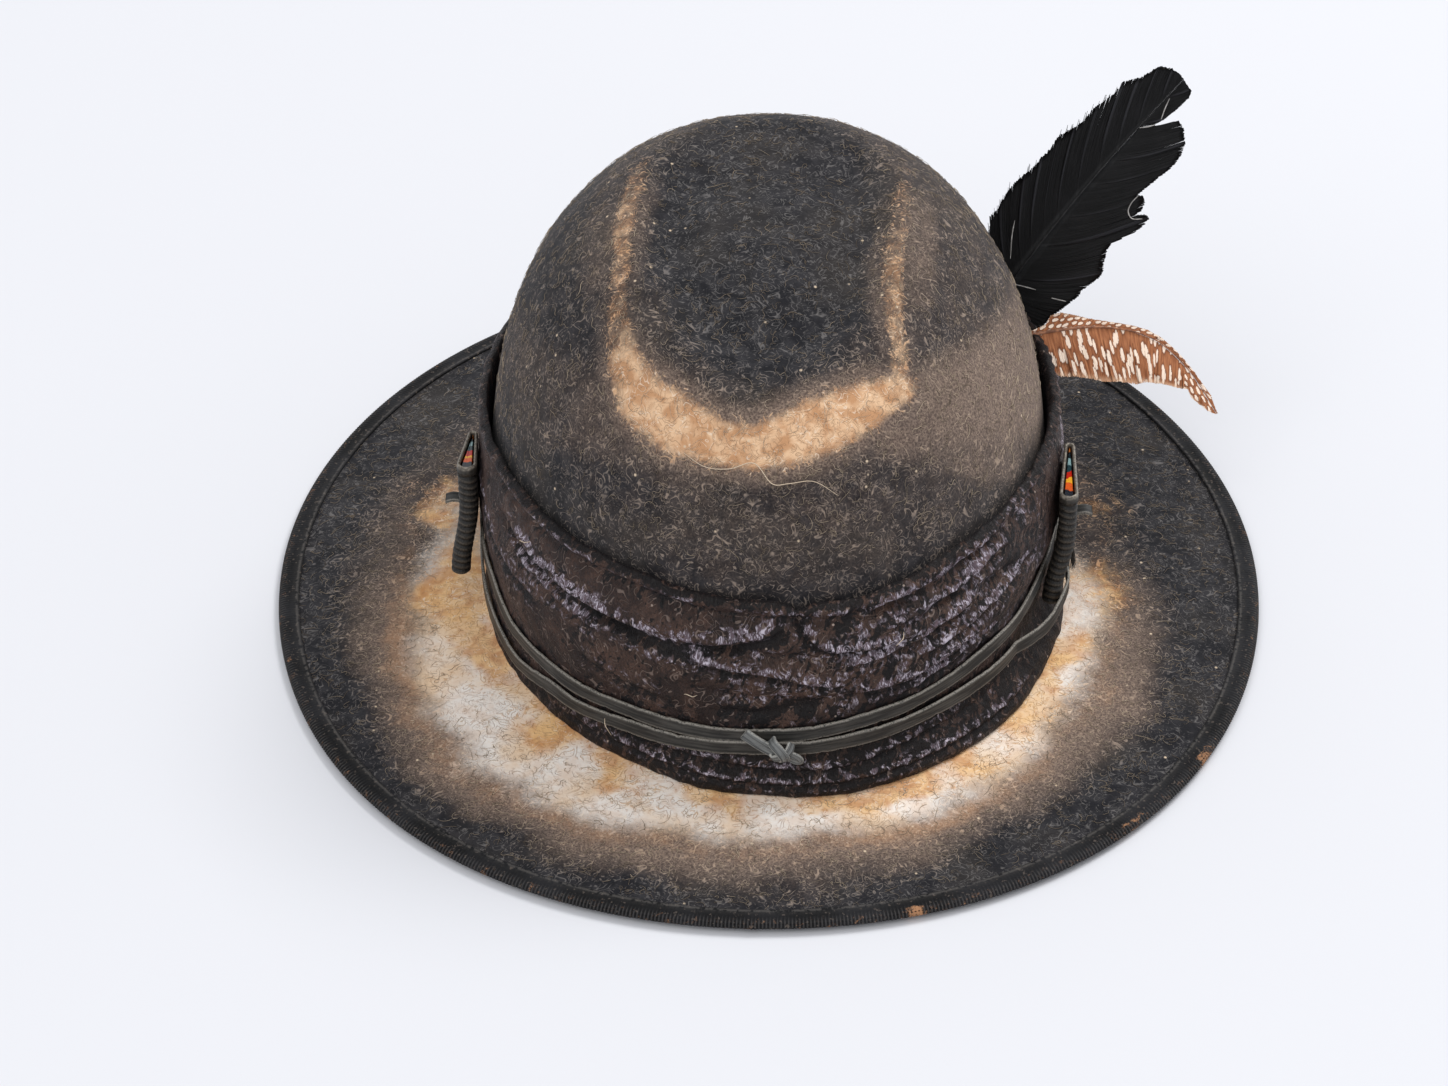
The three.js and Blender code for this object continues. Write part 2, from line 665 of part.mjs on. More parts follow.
addPiece('felt_body', feltBody(), feltGrey);
addPiece('brim_binding', brimBinding(), ribbonBlack);
addPiece('hat_band', hatBand(), velvetBrown);
addPiece('lace_upper', laceLoop('upper'), laceGrey);
addPiece('lace_lower', laceLoop('lower'), laceGrey);
addPiece('lace_knot', laceKnot(), laceGrey);
for (const shape of ornaments) {
  addPiece(`plaque_${shape.side}`, plaque(shape), leatherDark);
  addPiece(`plaque_rim_${shape.side}`, plaqueRim(shape), rimBeige);
  addPiece(`inlay_${shape.side}`, plaqueInlay(shape), inlayAmber);
}
const endLeft = new THREE.Vector3(-94.3, -20, 46);
const endRight = new THREE.Vector3(93.7, -32, 50);
addPiece('lace_end_left', strapEnd(endLeft, Math.PI, tabSize), laceGrey);
addPiece('lace_end_right', strapEnd(endRight, 0, tabSize), laceGrey);
addPiece('tassel_right', tasselRight(), leatherDark);
addPiece('feather_black', feather(feathers.black), featherBlack);
addPiece('feather_spotted', feather(feathers.spotted), featherBrown);

export default hat;
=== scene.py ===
"""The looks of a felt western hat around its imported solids.

Shapes are worked out in millimetres in the part's own frame, +Z up and the hat's front towards -Y, and
each mesh is made in metres. Angles go round the hat: 0 is +X, where the feathers are, and -90 degrees is
the front.
"""

import bpy
import numpy as np
from mathutils import Matrix, Vector


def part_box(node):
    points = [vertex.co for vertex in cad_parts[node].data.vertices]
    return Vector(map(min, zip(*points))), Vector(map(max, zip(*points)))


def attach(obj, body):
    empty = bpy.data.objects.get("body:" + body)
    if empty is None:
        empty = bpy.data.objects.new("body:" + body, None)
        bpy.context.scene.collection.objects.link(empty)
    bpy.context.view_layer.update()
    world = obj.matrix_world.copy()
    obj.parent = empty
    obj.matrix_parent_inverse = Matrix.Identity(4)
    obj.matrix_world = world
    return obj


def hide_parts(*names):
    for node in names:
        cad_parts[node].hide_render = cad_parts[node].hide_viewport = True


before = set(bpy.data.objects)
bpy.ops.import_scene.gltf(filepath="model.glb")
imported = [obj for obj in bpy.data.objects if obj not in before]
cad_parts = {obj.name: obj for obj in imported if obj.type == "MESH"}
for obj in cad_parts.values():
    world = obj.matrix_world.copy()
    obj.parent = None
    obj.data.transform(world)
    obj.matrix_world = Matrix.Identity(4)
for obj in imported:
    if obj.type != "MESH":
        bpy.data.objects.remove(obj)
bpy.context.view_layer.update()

MM = 0.001
TAU = 2 * np.pi


def stops(count):
    """Angles of so many even stations round the hat."""
    return np.arange(count) * TAU / count


def signed_degrees(angle):
    """An angle in degrees, from -180 to 180."""
    return (np.degrees(angle) + 180) % 360 - 180


def ease(low, high, x):
    """Goes from 0 at low to 1 at high along a smooth S: 3 t squared less 2 t cubed."""
    t = np.clip((x - low) / (high - low), 0, 1)
    return t * t * (3 - 2 * t)


def bell(distance, width):
    """1 at no distance, fading as e to the minus (distance / width) squared."""
    return np.exp(-((distance / width) ** 2))


def lumps(points, size, seed, waves=16):
    """Soft random relief of about unit height: sine waves of about one size, added in random directions."""
    draw = np.random.default_rng(seed)
    way = draw.normal(size=(waves, 3))
    way *= (TAU / (size * draw.uniform(0.7, 1.5, waves)) / np.linalg.norm(way, axis=1))[:, None]
    return np.sin(points @ way.T + draw.uniform(0, TAU, waves)).sum(-1) / np.sqrt(waves)


def unit(vectors):
    """The same directions with length 1."""
    return vectors / np.maximum(np.linalg.norm(vectors, axis=-1, keepdims=True), 1e-9)


def smooth_line(points, steps):
    """A curve through the points: between two neighbours it is the cubic that also heeds the next ones."""
    p = np.asarray(points, float)
    q = np.vstack([2 * p[0] - p[1], p, 2 * p[-1] - p[-2]])
    t = np.linspace(0, len(p) - 1 - 1e-6, steps)
    k = t.astype(int)
    f = (t - k)[:, None]
    a, b, c, d = q[k], q[k + 1], q[k + 2], q[k + 3]
    return 0.5 * (2 * b + (c - a) * f + (2 * a - 5 * b + 4 * c - d) * f**2 + (3 * b - a - 3 * c + d) * f**3)


def line_distance(u, v, line):
    """Distance of places (u, v) from a line of points: the nearest point of the nearest stretch.

    Also gives the side, positive to the left of the line's own direction, and how far along it the nearest
    point is, from 0 to 1.
    """
    line = np.asarray(line, float)
    best, side, along = np.full(u.shape, 1e9), np.zeros(u.shape), np.zeros(u.shape)
    for k, (a, b) in enumerate(zip(line[:-1], line[1:])):
        d = b - a
        t = np.clip(((u - a[0]) * d[0] + (v - a[1]) * d[1]) / (d @ d), 0, 1)
        du, dv = u - a[0] - t * d[0], v - a[1] - t * d[1]
        distance = np.hypot(du, dv)
        near = distance < best
        best = np.where(near, distance, best)
        side = np.where(near, np.sign(d[0] * dv - d[1] * du), side)
        along = np.where(near, (k + t) / (len(line) - 1), along)
    return best, side, along


def stroke_field(points, rows):
    """How strongly a brushed mark covers each point, from rows of x, y, z, half width and strength.

    Each stretch between two rows gives strength times an S that falls from its middle to its edge.
    """
    rows = np.asarray(rows, float)
    field = np.zeros(points.shape[:-1])
    for a, b in zip(rows[:-1], rows[1:]):
        d = b[:3] - a[:3]
        t = np.clip(((points - a[:3]) @ d) / (d @ d), 0, 1)
        distance = np.linalg.norm(points - a[:3] - t[..., None] * d, axis=-1)
        width = a[3] + (b[3] - a[3]) * t
        strength = a[4] + (b[4] - a[4]) * t
        field = np.maximum(field, strength * (1 - ease(0.45, 1.6, distance / width)))
    return field


def grid_faces(nu, nv, wrap_u=False, wrap_v=False):
    """Quads over a grid of nu by nv points, and each quad corner's own place in the grid, not wrapped."""
    i, j = np.meshgrid(np.arange(nu - 1 + wrap_u), np.arange(nv - 1 + wrap_v), indexing="ij")
    corners = np.stack([np.stack([i + di, j + dj], -1) for di, dj in ((0, 0), (1, 0), (1, 1), (0, 1))], -2)
    corners = corners.reshape(-1, 4, 2)
    quads = (corners[..., 0] % nu) * nv + corners[..., 1] % nv
    return quads, corners


def held_volume(points, faces):
    """Six times the volume inside the faces: the sum of the triple products of each face's fan."""
    total = 0.0
    for face in faces:
        p = points[face]
        for k in range(1, face.shape[1] - 1):
            total += np.einsum("ij,ij->", p[:, 0], np.cross(p[:, k], p[:, k + 1]))
    return total


def place_object(name, data):
    """A new object in the scene, at the origin."""
    thing = bpy.data.objects.new(name, data)
    bpy.context.scene.collection.objects.link(thing)
    return thing


def make_piece(name, points, faces, material, stands_for=(), uv=None, fields=None, smooth=True):
    """Puts points in millimetres and lists of faces into one mesh object in metres.

    faces is a list of arrays, one for each number of corners. They are turned round together where the volume
    that they hold comes out negative. uv is per point or per face corner of the first array.
    """
    points = points.reshape(-1, 3)
    faces = [np.atleast_2d(np.asarray(face, int)) for face in faces]
    if held_volume(points - points.mean(0), faces) < 0:
        faces = [face[:, ::-1] for face in faces]
        if uv is not None and uv.ndim == 3:
            uv = uv[:, ::-1]
    mesh = bpy.data.meshes.new(name)
    mesh.from_pydata(points * MM, [], [row for face in faces for row in face.tolist()])
    mesh.polygons.foreach_set("use_smooth", np.full(len(mesh.polygons), smooth))
    if uv is not None:
        layer = mesh.uv_layers.new(name="lay")
        corner_uv = uv.reshape(-1, 2) if uv.ndim == 3 else uv[faces[0].ravel()]
        filled = np.zeros((len(mesh.loops), 2))
        filled[: len(corner_uv)] = corner_uv
        layer.data.foreach_set("uv", filled.ravel())
    for label, values in (fields or {}).items():
        attribute = mesh.attributes.new(label, "FLOAT", "POINT")
        attribute.data.foreach_set("value", np.asarray(values, np.float32).ravel())
    mesh.update()
    piece = place_object(name, mesh)
    mesh.materials.append(material)
    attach(piece, "root")
    if stands_for:
        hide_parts(*stands_for)
    return piece


def grid_uv(corners, u_values, v_values):
    """The uv of each quad corner, read from a value for each row and column of the grid."""
    return np.stack([np.asarray(u_values)[corners[..., 0]], np.asarray(v_values)[corners[..., 1]]], -1)


def bundle(paths, face, half_wide, half_thick, section, up=None):
    """Many closed strips at once: each path carries a small section, and each end is closed by one face.

    A point is path + side * half_wide * section_x + up * half_thick * section_y, for paths of shape
    (strips, steps, 3). side is square to the path and to the way the strip faces, and up is square to both
    unless it is given. Gives the points and the lists of faces.
    """
    way = unit(np.gradient(paths, axis=1))
    side = unit(np.cross(way, face))
    up = np.cross(side, way) if up is None else up
    section = np.asarray(section, float)
    half_wide = np.broadcast_to(half_wide, paths.shape[:2])[..., None]
    half_thick = np.broadcast_to(half_thick, paths.shape[:2])[..., None]
    points = paths[:, :, None] + (side * half_wide)[:, :, None] * section[:, :1] + (
        up * half_thick)[:, :, None] * section[:, 1:]
    strips, steps, m = points.shape[:3]
    quads, _ = grid_faces(steps, m, wrap_v=True)
    base = (np.arange(strips) * steps * m)[:, None, None]
    walls = (quads[None] + base).reshape(-1, 4)
    ends = np.stack([np.arange(m)[::-1], (steps - 1) * m + np.arange(m)])
    return points, [walls, (ends[None] + base).reshape(-1, m)]


DIAMOND = [(1, 0), (0, 1), (-1, 0), (0, -1)]
TRIANGLE = [(1, -0.6), (0, 1.2), (-1, -0.6)]
ROUND = [(np.cos(a), np.sin(a)) for a in np.arange(8) * TAU / 8]
STRAP = [(1, -0.5), (1, 0.5), (0.92, 0.95), (0.78, 1.08), (0.5, 1.0), (0, 0.94), (-0.5, 1.0), (-0.78, 1.08),
         (-0.92, 0.95), (-1, 0.5), (-1, -0.5), (-0.86, -1), (0.86, -1)]


class Nodes:
    """Lays out the nodes of one material or group. Each call adds a node and gives one of its outputs."""

    def __init__(self, tree):
        self.tree = tree

    def add(self, kind, sockets=(), out=0, **options):
        node = self.tree.nodes.new("ShaderNode" + kind)
        for name, value in options.items():
            setattr(node, name, value)
        for key, value in dict(sockets).items():
            if isinstance(value, bpy.types.NodeSocket):
                self.tree.links.new(value, node.inputs[key])
            else:
                node.inputs[key].default_value = value
        return node.outputs[out]

    def math(self, operation, *values):
        return self.add("Math", enumerate(values), operation=operation)

    def plus(self, a, b):
        return self.math("ADD", a, b)

    def less(self, a, b):
        return self.math("SUBTRACT", a, b)

    def times(self, a, b):
        return self.math("MULTIPLY", a, b)

    def higher(self, a, b):
        return self.math("MAXIMUM", a, b)

    def fit(self, value, low, high, to_low=0.0, to_high=1.0):
        """Eases a value from one range to another."""
        sockets = {0: value, 1: low, 2: high, 3: to_low, 4: to_high}
        return self.add("MapRange", sockets, interpolation_type="SMOOTHSTEP")

    def mix(self, share, a, b):
        """Colour a where share is 0 and b where it is 1: outputs, or screen values of 0 to 255."""
        a, b = [rgb(*colour) if isinstance(colour, tuple) else colour for colour in (a, b)]
        return self.add("Mix", {0: share, 6: a, 7: b}, out=2, data_type="RGBA")

    def over(self, colour, share, most, tint):
        """Lays a tint over a colour by a share, at most so far."""
        return self.mix(self.times(share, most), colour, tint)

    def blend(self, value, low, high, a, b):
        """Goes from colour a to colour b while a value goes from low to high."""
        return self.mix(self.fit(value, low, high), a, b)

    def cloudy(self, vector, scale, detail, warp=0.0, out=0):
        sockets = {"Vector": vector, "Scale": scale, "Detail": detail, "Distortion": warp}
        return self.add("TexNoise", sockets, out)

    def noise(self, place, size, detail=2.0, warp=0.0):
        """Cloudy noise about 0.5 whose clouds are about size millimetres across."""
        return self.cloudy(place, 1 / (size * MM), detail, warp)

    def stretched(self, vector, scale, turn=0.0, **options):
        """The same vectors turned in their plane and scaled."""
        return self.add("Mapping", {"Vector": vector, "Rotation": (0, 0, turn), "Scale": scale}, **options)

    def field(self, label):
        """A value stored on the mesh's points."""
        return self.add("Attribute", attribute_name=label, out=2)

    def place(self):
        return self.add("TexCoord", out=3)

    def lay(self):
        """The piece's own uv map."""
        return self.add("UVMap", uv_map="lay")

    def bump(self, height, depth, strength=1.0, over=None):
        """Turns a height of 0 to 1 into a normal, for relief that is depth millimetres high."""
        sockets = {"Height": height, "Distance": depth * MM, "Strength": strength}
        if over is not None:
            sockets["Normal"] = over
        return self.add("Bump", sockets)

    def group(self, tree, place, **sockets):
        """Places a shared effect and gives back its first output. Sockets are named in small letters."""
        named = {label.capitalize(): value for label, value in sockets.items()}
        return self.add("Group", {"Place": place, **named}, node_tree=tree)


def make_group(name, result, takes, build):
    """A shared effect that takes a Place and named values, with their usual settings, and gives one value."""
    tree = bpy.data.node_groups.new(name, "ShaderNodeTree")
    tree.interface.new_socket(name="Place", in_out="INPUT", socket_type="NodeSocketVector")
    for label, value in takes.items():
        socket = tree.interface.new_socket(name=label, in_out="INPUT", socket_type="NodeSocketFloat")
        socket.default_value = value
    tree.interface.new_socket(name=result, in_out="OUTPUT", socket_type="NodeSocketFloat")
    source = tree.nodes.new("NodeGroupInput")
    sink = tree.nodes.new("NodeGroupOutput")
    tree.links.new(build(Nodes(tree), source.outputs), sink.inputs[result])
    return tree


def rgb(red, green, blue):
    """A colour given as screen values of 0 to 255, as the linear values that shaders take."""
    screen = np.array([red, green, blue]) / 255
    linear = np.where(screen <= 0.04045, screen / 12.92, ((screen + 0.055) / 1.055) ** 2.4)
    return (*linear.tolist(), 1.0)


CONSTANT_SOCKETS = {
    "specular": "Specular IOR Level", "sheen": "Sheen Weight", "sheen_roughness": "Sheen Roughness",
    "sheen_tint": "Sheen Tint", "coat": "Coat Weight", "coat_roughness": "Coat Roughness",
    "roughness": "Roughness", "metallic": "Metallic",
}


def make_material(name, build, **constants):
    """A Principled surface. Constants go on its own sockets, and build links what varies over the surface."""
    material = bpy.data.materials.new(name)
    material.use_nodes = True
    tree = material.node_tree
    tree.nodes.clear()
    surface = tree.nodes.new("ShaderNodeBsdfPrincipled")
    output = tree.nodes.new("ShaderNodeOutputMaterial")
    tree.links.new(surface.outputs[0], output.inputs[0])
    for key, value in constants.items():
        surface.inputs[CONSTANT_SOCKETS[key]].default_value = value
    for label, value in build(Nodes(tree)).items():
        tree.links.new(value, surface.inputs[label])
    return material


def build_curly(nodes, takes):
    """Curly lines like matted fibres: thin level lines of a noise, kept where a second noise is high."""
    noise = nodes.cloudy(takes["Place"], takes["Scale"], 1.0, 0.7)
    level = nodes.math("FRACT", nodes.times(noise, takes["Rings"]))
    away = nodes.math("ABSOLUTE", nodes.less(level, 0.5))
    line = nodes.fit(away, 0.0, takes["Width"], 1.0, 0.0)
    gaps = nodes.cloudy(takes["Place"], nodes.times(takes["Scale"], 0.8), 0.0, 1.5)
    return nodes.times(line, nodes.fit(gaps, takes["Gaps"], 0.6))


def build_specks(nodes, takes):
    """Small dots of dust: the middles of a share of the cells of a cell pattern."""
    distance = nodes.add("TexVoronoi", {"Vector": takes["Place"], "Scale": takes["Scale"]})
    chance = nodes.add("SeparateColor", {0: distance.node.outputs["Color"]})
    kept = nodes.math("GREATER_THAN", chance, takes["Rarity"])
    return nodes.times(nodes.fit(distance, 0.04, takes["Size"], 1.0, 0.0), kept)


def build_ragged(nodes, takes):
    """A stored mark with a ragged, fibrous edge: the mark plus noise at two sizes and the matted fibres,
    eased between two levels. Fibres catch the mark first, and the hollows between them last."""
    coarse = nodes.cloudy(takes["Place"], takes["Scale"], 3.0, 0.8)
    fine = nodes.cloudy(takes["Place"], nodes.times(takes["Scale"], 6.0), 1.0, 1.2)
    wide = nodes.times(nodes.less(coarse, 0.5), takes["Spread"])
    narrow = nodes.times(nodes.less(fine, 0.5), takes["Grain"])
    caught = nodes.times(nodes.less(takes["Fibre"], 0.25), takes["Pull"])
    drift = nodes.plus(nodes.plus(wide, narrow), caught)
    lively = nodes.fit(takes["Mark"], 0.0, 0.15)
    moved = nodes.plus(takes["Mark"], nodes.times(drift, lively))
    return nodes.fit(moved, takes["Low"], takes["High"])


curly_lines = make_group("curly_lines", "Lines", {"Scale": 420.0, "Rings": 4.0, "Width": 0.2, "Gaps": 0.4},
                         build_curly)
dust_specks = make_group("dust_specks", "Specks", {"Scale": 180.0, "Size": 0.08, "Rarity": 0.6}, build_specks)
ragged_mark = make_group("ragged_mark", "Mask", {"Mark": 0.0, "Fibre": 0.25, "Pull": 0.3, "Scale": 90.0,
                                                 "Spread": 1.2, "Grain": 0.8, "Low": 0.25, "High": 0.7},
                         build_ragged)


def felt_finish(nodes):
    """Charcoal wool felt: matted curly fibres, brown and cream worn marks with fibrous edges, and dust. The
    brown on the crown also carries painted light, paler towards +X.
    """
    place = nodes.place()
    clouds = nodes.noise(place, 26, 3.0)
    blotch = nodes.noise(place, 6, 3.0, 0.6)
    grain = nodes.noise(place, 0.6, 2.0)
    curls = nodes.group(curly_lines, place, scale=210.0, rings=7.0, width=0.15, gaps=0.38)
    small = nodes.group(curly_lines, place, scale=430.0, rings=5.0, width=0.2, gaps=0.42)
    lines = nodes.higher(curls, nodes.times(small, 0.7))
    dark = nodes.blend(blotch, 0.35, 0.68, (33, 33, 37), (54, 53, 56))
    dark = nodes.mix(nodes.fit(clouds, 0.45, 0.72, 0.0, 0.45), dark, (70, 64, 58))
    dark = nodes.mix(nodes.fit(grain, 0.3, 0.7, 0.3, 0.0), dark, (16, 16, 18))

    def mark(label, scale, spread, fuzz, pull, low, high):
        return nodes.group(ragged_mark, place, mark=nodes.field(label), fibre=lines, pull=pull, scale=scale,
                           spread=spread, grain=fuzz, low=low, high=high)

    brown = mark("brown", 110.0, 0.34, 0.2, 0.34, 0.04, 0.98)
    tan = mark("tan", 130.0, 0.6, 0.34, 0.45, 0.16, 0.86)
    cream = mark("cream", 90.0, 0.34, 0.22, 0.24, 0.08, 0.78)
    orange = mark("orange", 80.0, 0.9, 0.24, 0.3, 0.18, 0.9)
    fringe = mark("fringe", 120.0, 0.7, 0.3, 0.4, 0.1, 1.0)
    # the brown mark's colour: wear, and on the crown's +X side painted light
    brown_wear_and_light = nodes.blend(grain, 0.35, 0.65, (104, 88, 79), (152, 131, 116))
    colour = nodes.over(dark, brown, 0.88, brown_wear_and_light)
    colour = nodes.over(colour, fringe, 0.7, (206, 158, 118))
    pale = nodes.blend(blotch, 0.36, 0.6, (246, 229, 214), (255, 247, 238))
    pale = nodes.mix(nodes.fit(clouds, 0.44, 0.62, 0.0, 0.8), pale, (244, 208, 166))
    pale = nodes.mix(nodes.fit(nodes.noise(place, 9, 2.0), 0.58, 0.74, 0.0, 0.3), pale, (204, 188, 174))
    colour = nodes.over(colour, cream, 0.97, pale)
    warm = nodes.blend(blotch, 0.35, 0.65, (206, 142, 80), (246, 196, 130))
    colour = nodes.over(colour, orange, 0.85, warm)
    peach = nodes.blend(blotch, 0.38, 0.62, (206, 156, 114), (242, 202, 162))
    colour = nodes.over(colour, tan, 0.94, peach)
    light = nodes.higher(nodes.higher(cream, tan), orange)
    fibre = nodes.mix(light, nodes.mix(brown, (124, 120, 118), (182, 160, 140)), (190, 148, 112))
    colour = nodes.over(colour, lines, nodes.fit(light, 0.0, 1.0, 0.66, 0.46), fibre)
    pale_curls = nodes.group(curly_lines, place, scale=260.0, rings=6.0, width=0.13, gaps=0.5)
    colour = nodes.over(colour, pale_curls, nodes.fit(light, 0.05, 0.6, 0.0, 0.6), (252, 234, 212))
    specks = nodes.group(dust_specks, place, scale=210.0, size=0.13, rarity=0.8)
    colour = nodes.over(colour, specks, 0.9, (226, 204, 176))
    relief = nodes.plus(nodes.times(lines, 0.8), nodes.times(grain, 0.5))
    return {"Base Color": colour, "Normal": nodes.bump(relief, 0.2, 1.0)}


def ribbon_finish(nodes):
    """Black ribbed ribbon: fine cross ribs with a painted highlight on their crests, a pale stitch line near
    its inner edge, dust and worn spots.
    """
    place = nodes.place()
    speckle = nodes.noise(place, 1.2, 2.0)
    clouds = nodes.noise(place, 18, 2.0)
    dark = nodes.blend(clouds, 0.4, 0.65, (13, 13, 15), (30, 30, 33))
    # painted highlight: lighter grey on the rib crests
    dark = nodes.over(dark, nodes.fit(nodes.field("crest"), 0.25, 1.0), 0.5, (82, 80, 79))
    dark = nodes.mix(nodes.fit(speckle, 0.6, 0.72, 0.0, 0.5), dark, (112, 102, 94))
    stitch = nodes.times(nodes.field("stitch"), nodes.fit(speckle, 0.36, 0.5))
    dark = nodes.over(dark, stitch, 0.45, (108, 104, 100))
    worn = nodes.group(ragged_mark, place, mark=nodes.field("worn"), pull=0.0, scale=420.0, spread=1.6,
                       grain=1.0, low=0.5, high=1.0)
    dark = nodes.over(dark, worn, 0.8, (186, 136, 98))
    return {"Base Color": dark, "Normal": nodes.bump(speckle, 0.05, 0.6),
            "Roughness": nodes.fit(speckle, 0.3, 0.7, 0.7, 0.92)}


def velvet_finish(nodes):
    """Crushed velvet: brown pile, black bruises that also carry painted shade, and painted highlights: a
    lavender haze and pale strokes on the ridges.

    The uv is the way round and the height in centimetres, so that flecks lean with the pile.
    """
    place = nodes.place()
    lay = nodes.lay()
    leaning = nodes.stretched(lay, (0.75, 0.24, 1.0), 1.05, vector_type="TEXTURE")
    clouds = nodes.noise(place, 12, 3.0, 0.8)
    pile = nodes.noise(place, 0.8, 2.0, 0.5)
    fleck = nodes.cloudy(leaning, 1.0, 4.0, 0.8)
    patch = nodes.noise(place, 3.2, 4.0, 1.6)
    stroke = nodes.group(curly_lines, place, scale=170.0, rings=7.0, width=0.15, gaps=0.36)
    brown = nodes.blend(clouds, 0.36, 0.66, (48, 35, 31), (86, 64, 54))
    brown = nodes.mix(nodes.fit(pile, 0.35, 0.65, 0.5, 0.0), brown, (18, 13, 13))
    mottle = nodes.plus(nodes.times(patch, 0.45), nodes.times(fleck, 0.55))
    # dark crushed patches from noise, and painted shade where the stored bruise value is high: in grooves,
    # beside the laces and under the hem
    bruise_and_shade = nodes.fit(nodes.plus(nodes.times(nodes.field("bruise_and_shade"), 0.17), mottle), 0.568, 0.604)
    thread = nodes.fit(stroke, 0.2, 0.7)
    colour = nodes.over(brown, thread, 0.5, (140, 122, 112))
    colour = nodes.over(colour, bruise_and_shade, 0.9, (8, 7, 9))
    combed = nodes.stretched(lay, (12.0, 4.4, 1.0), 0.5)
    hatch = nodes.higher(nodes.fit(nodes.cloudy(combed, 1.0, 2.0, 2.2), 0.48, 0.62), thread)
    drift = nodes.fit(nodes.noise(place, 3.4, 3.0, 1.4), 0.36, 0.64)
    # painted highlight: a lavender haze where the stored shine value is high, broken up by a cloudy drift
    lit = nodes.plus(nodes.times(nodes.field("painted_shine"), 0.55), nodes.times(drift, 0.5))
    lit = nodes.fit(nodes.less(lit, nodes.times(bruise_and_shade, 0.1)), 0.5, 0.88)
    colour = nodes.over(colour, lit, 0.72, (108, 93, 102))
    # painted highlight: pale glinting strokes over the haze
    colour = nodes.over(colour, nodes.times(hatch, lit), 0.8, (212, 203, 216))
    specks = nodes.group(dust_specks, place, scale=150.0, size=0.07, rarity=0.8)
    colour = nodes.over(colour, specks, 0.7, (190, 170, 156))
    relief = nodes.plus(nodes.times(hatch, 0.35), nodes.times(patch, 0.9))
    normal = nodes.bump(pile, 0.14, 0.8, nodes.bump(relief, 0.7, 0.95))
    return {"Base Color": colour, "Normal": normal, "Roughness": nodes.fit(pile, 0.3, 0.7, 0.5, 0.72)}


def strap_finish(base, pale, streak):
    """Flat leather lacing: streaks along it, paler rubbed edges (on a wound column, painted highlight on the
    winding crests), small cracks and two dark lines of painted shade for pressed grooves.
    """
    def build(nodes):
        lay = nodes.lay()
        grain = nodes.cloudy(nodes.stretched(lay, (0.16, 3.2, 1.0)), 5.0, 4.0, 0.3)
        pores = nodes.noise(nodes.place(), 0.5, 2.0)
        colour = nodes.blend(grain, 0.36, 0.64, base, pale)
        colour = nodes.mix(nodes.fit(nodes.noise(nodes.place(), 9, 1.0), 0.4, 0.65, 0.0, 0.4), colour, base)
        edge = nodes.times(nodes.field("edge"), nodes.fit(pores, 0.3, 0.55))
        # pale streak: rubbed edges on the laces, and on a wound column a painted highlight on the windings'
        # crests
        colour = nodes.over(colour, edge, 0.85, streak)
        colour = nodes.mix(nodes.fit(pores, 0.6, 0.72, 0.0, 0.5), colour, (18, 18, 17))
        # painted shade: two dark lines stand for pressed grooves that the strap's shape does not have
        across = nodes.less(nodes.add("SeparateXYZ", {0: lay}, out=1), 0.385)
        off_groove = nodes.math("ABSOLUTE", nodes.less(nodes.math("ABSOLUTE", across), 0.1))
        colour = nodes.over(colour, nodes.fit(off_groove, 0.008, 0.028, 1.0, 0.0), 0.6, (16, 16, 15))
        relief = nodes.plus(grain, nodes.times(pores, 0.4))
        return {"Base Color": colour, "Normal": nodes.bump(relief, 0.12, 0.8),
                "Roughness": nodes.fit(grain, 0.35, 0.65, 0.62, 0.42)}
    return build


def rim_finish(nodes):
    """Dull rim: dark at its foot and rubbed to grey-beige along its top edge."""
    place = nodes.place()
    speckle = nodes.noise(place, 0.8, 3.0)
    height = nodes.add("SeparateXYZ", {0: place}, out=2)
    colour = nodes.blend(speckle, 0.35, 0.65, (104, 97, 88), (160, 152, 140))
    colour = nodes.mix(nodes.fit(height, 0.0634, 0.0646, 0.85, 0.0), colour, (34, 32, 30))
    return {"Base Color": colour, "Normal": nodes.bump(speckle, 0.08, 0.6),
            "Roughness": nodes.fit(speckle, 0.3, 0.7, 0.35, 0.6)}


# where each chip starts along its setting, and its colour
CHIP_TINTS = [
    (0.0, (16, 22, 34)), (0.24, (226, 92, 20)), (0.36, (248, 176, 40)), (0.45, (196, 34, 14)),
    (0.58, (34, 60, 66)), (0.68, (142, 176, 178)), (0.8, (24, 40, 46)), (0.9, (206, 120, 56)),
]


def chip_finish(nodes):
    """Polished chips set side by side: the stored place along the setting picks each chip's colour."""
    place = nodes.place()
    along = nodes.plus(nodes.field("chip"), nodes.times(nodes.noise(place, 2.5, 1.0), 0.16))
    ramp = nodes.add("ValToRGB", {0: along})
    stops = ramp.node.color_ramp
    stops.interpolation = "CONSTANT"
    for k, (at, tint) in enumerate(CHIP_TINTS):
        stop = stops.elements[k] if k < 2 else stops.elements.new(at)
        stop.position = at
        stop.color = rgb(*tint)
    ripple = nodes.noise(place, 0.6, 2.0)
    return {"Base Color": nodes.mix(nodes.fit(ripple, 0.55, 0.75, 0.0, 0.5), ramp, (20, 16, 14)),
            "Normal": nodes.bump(ripple, 0.08, 0.5)}


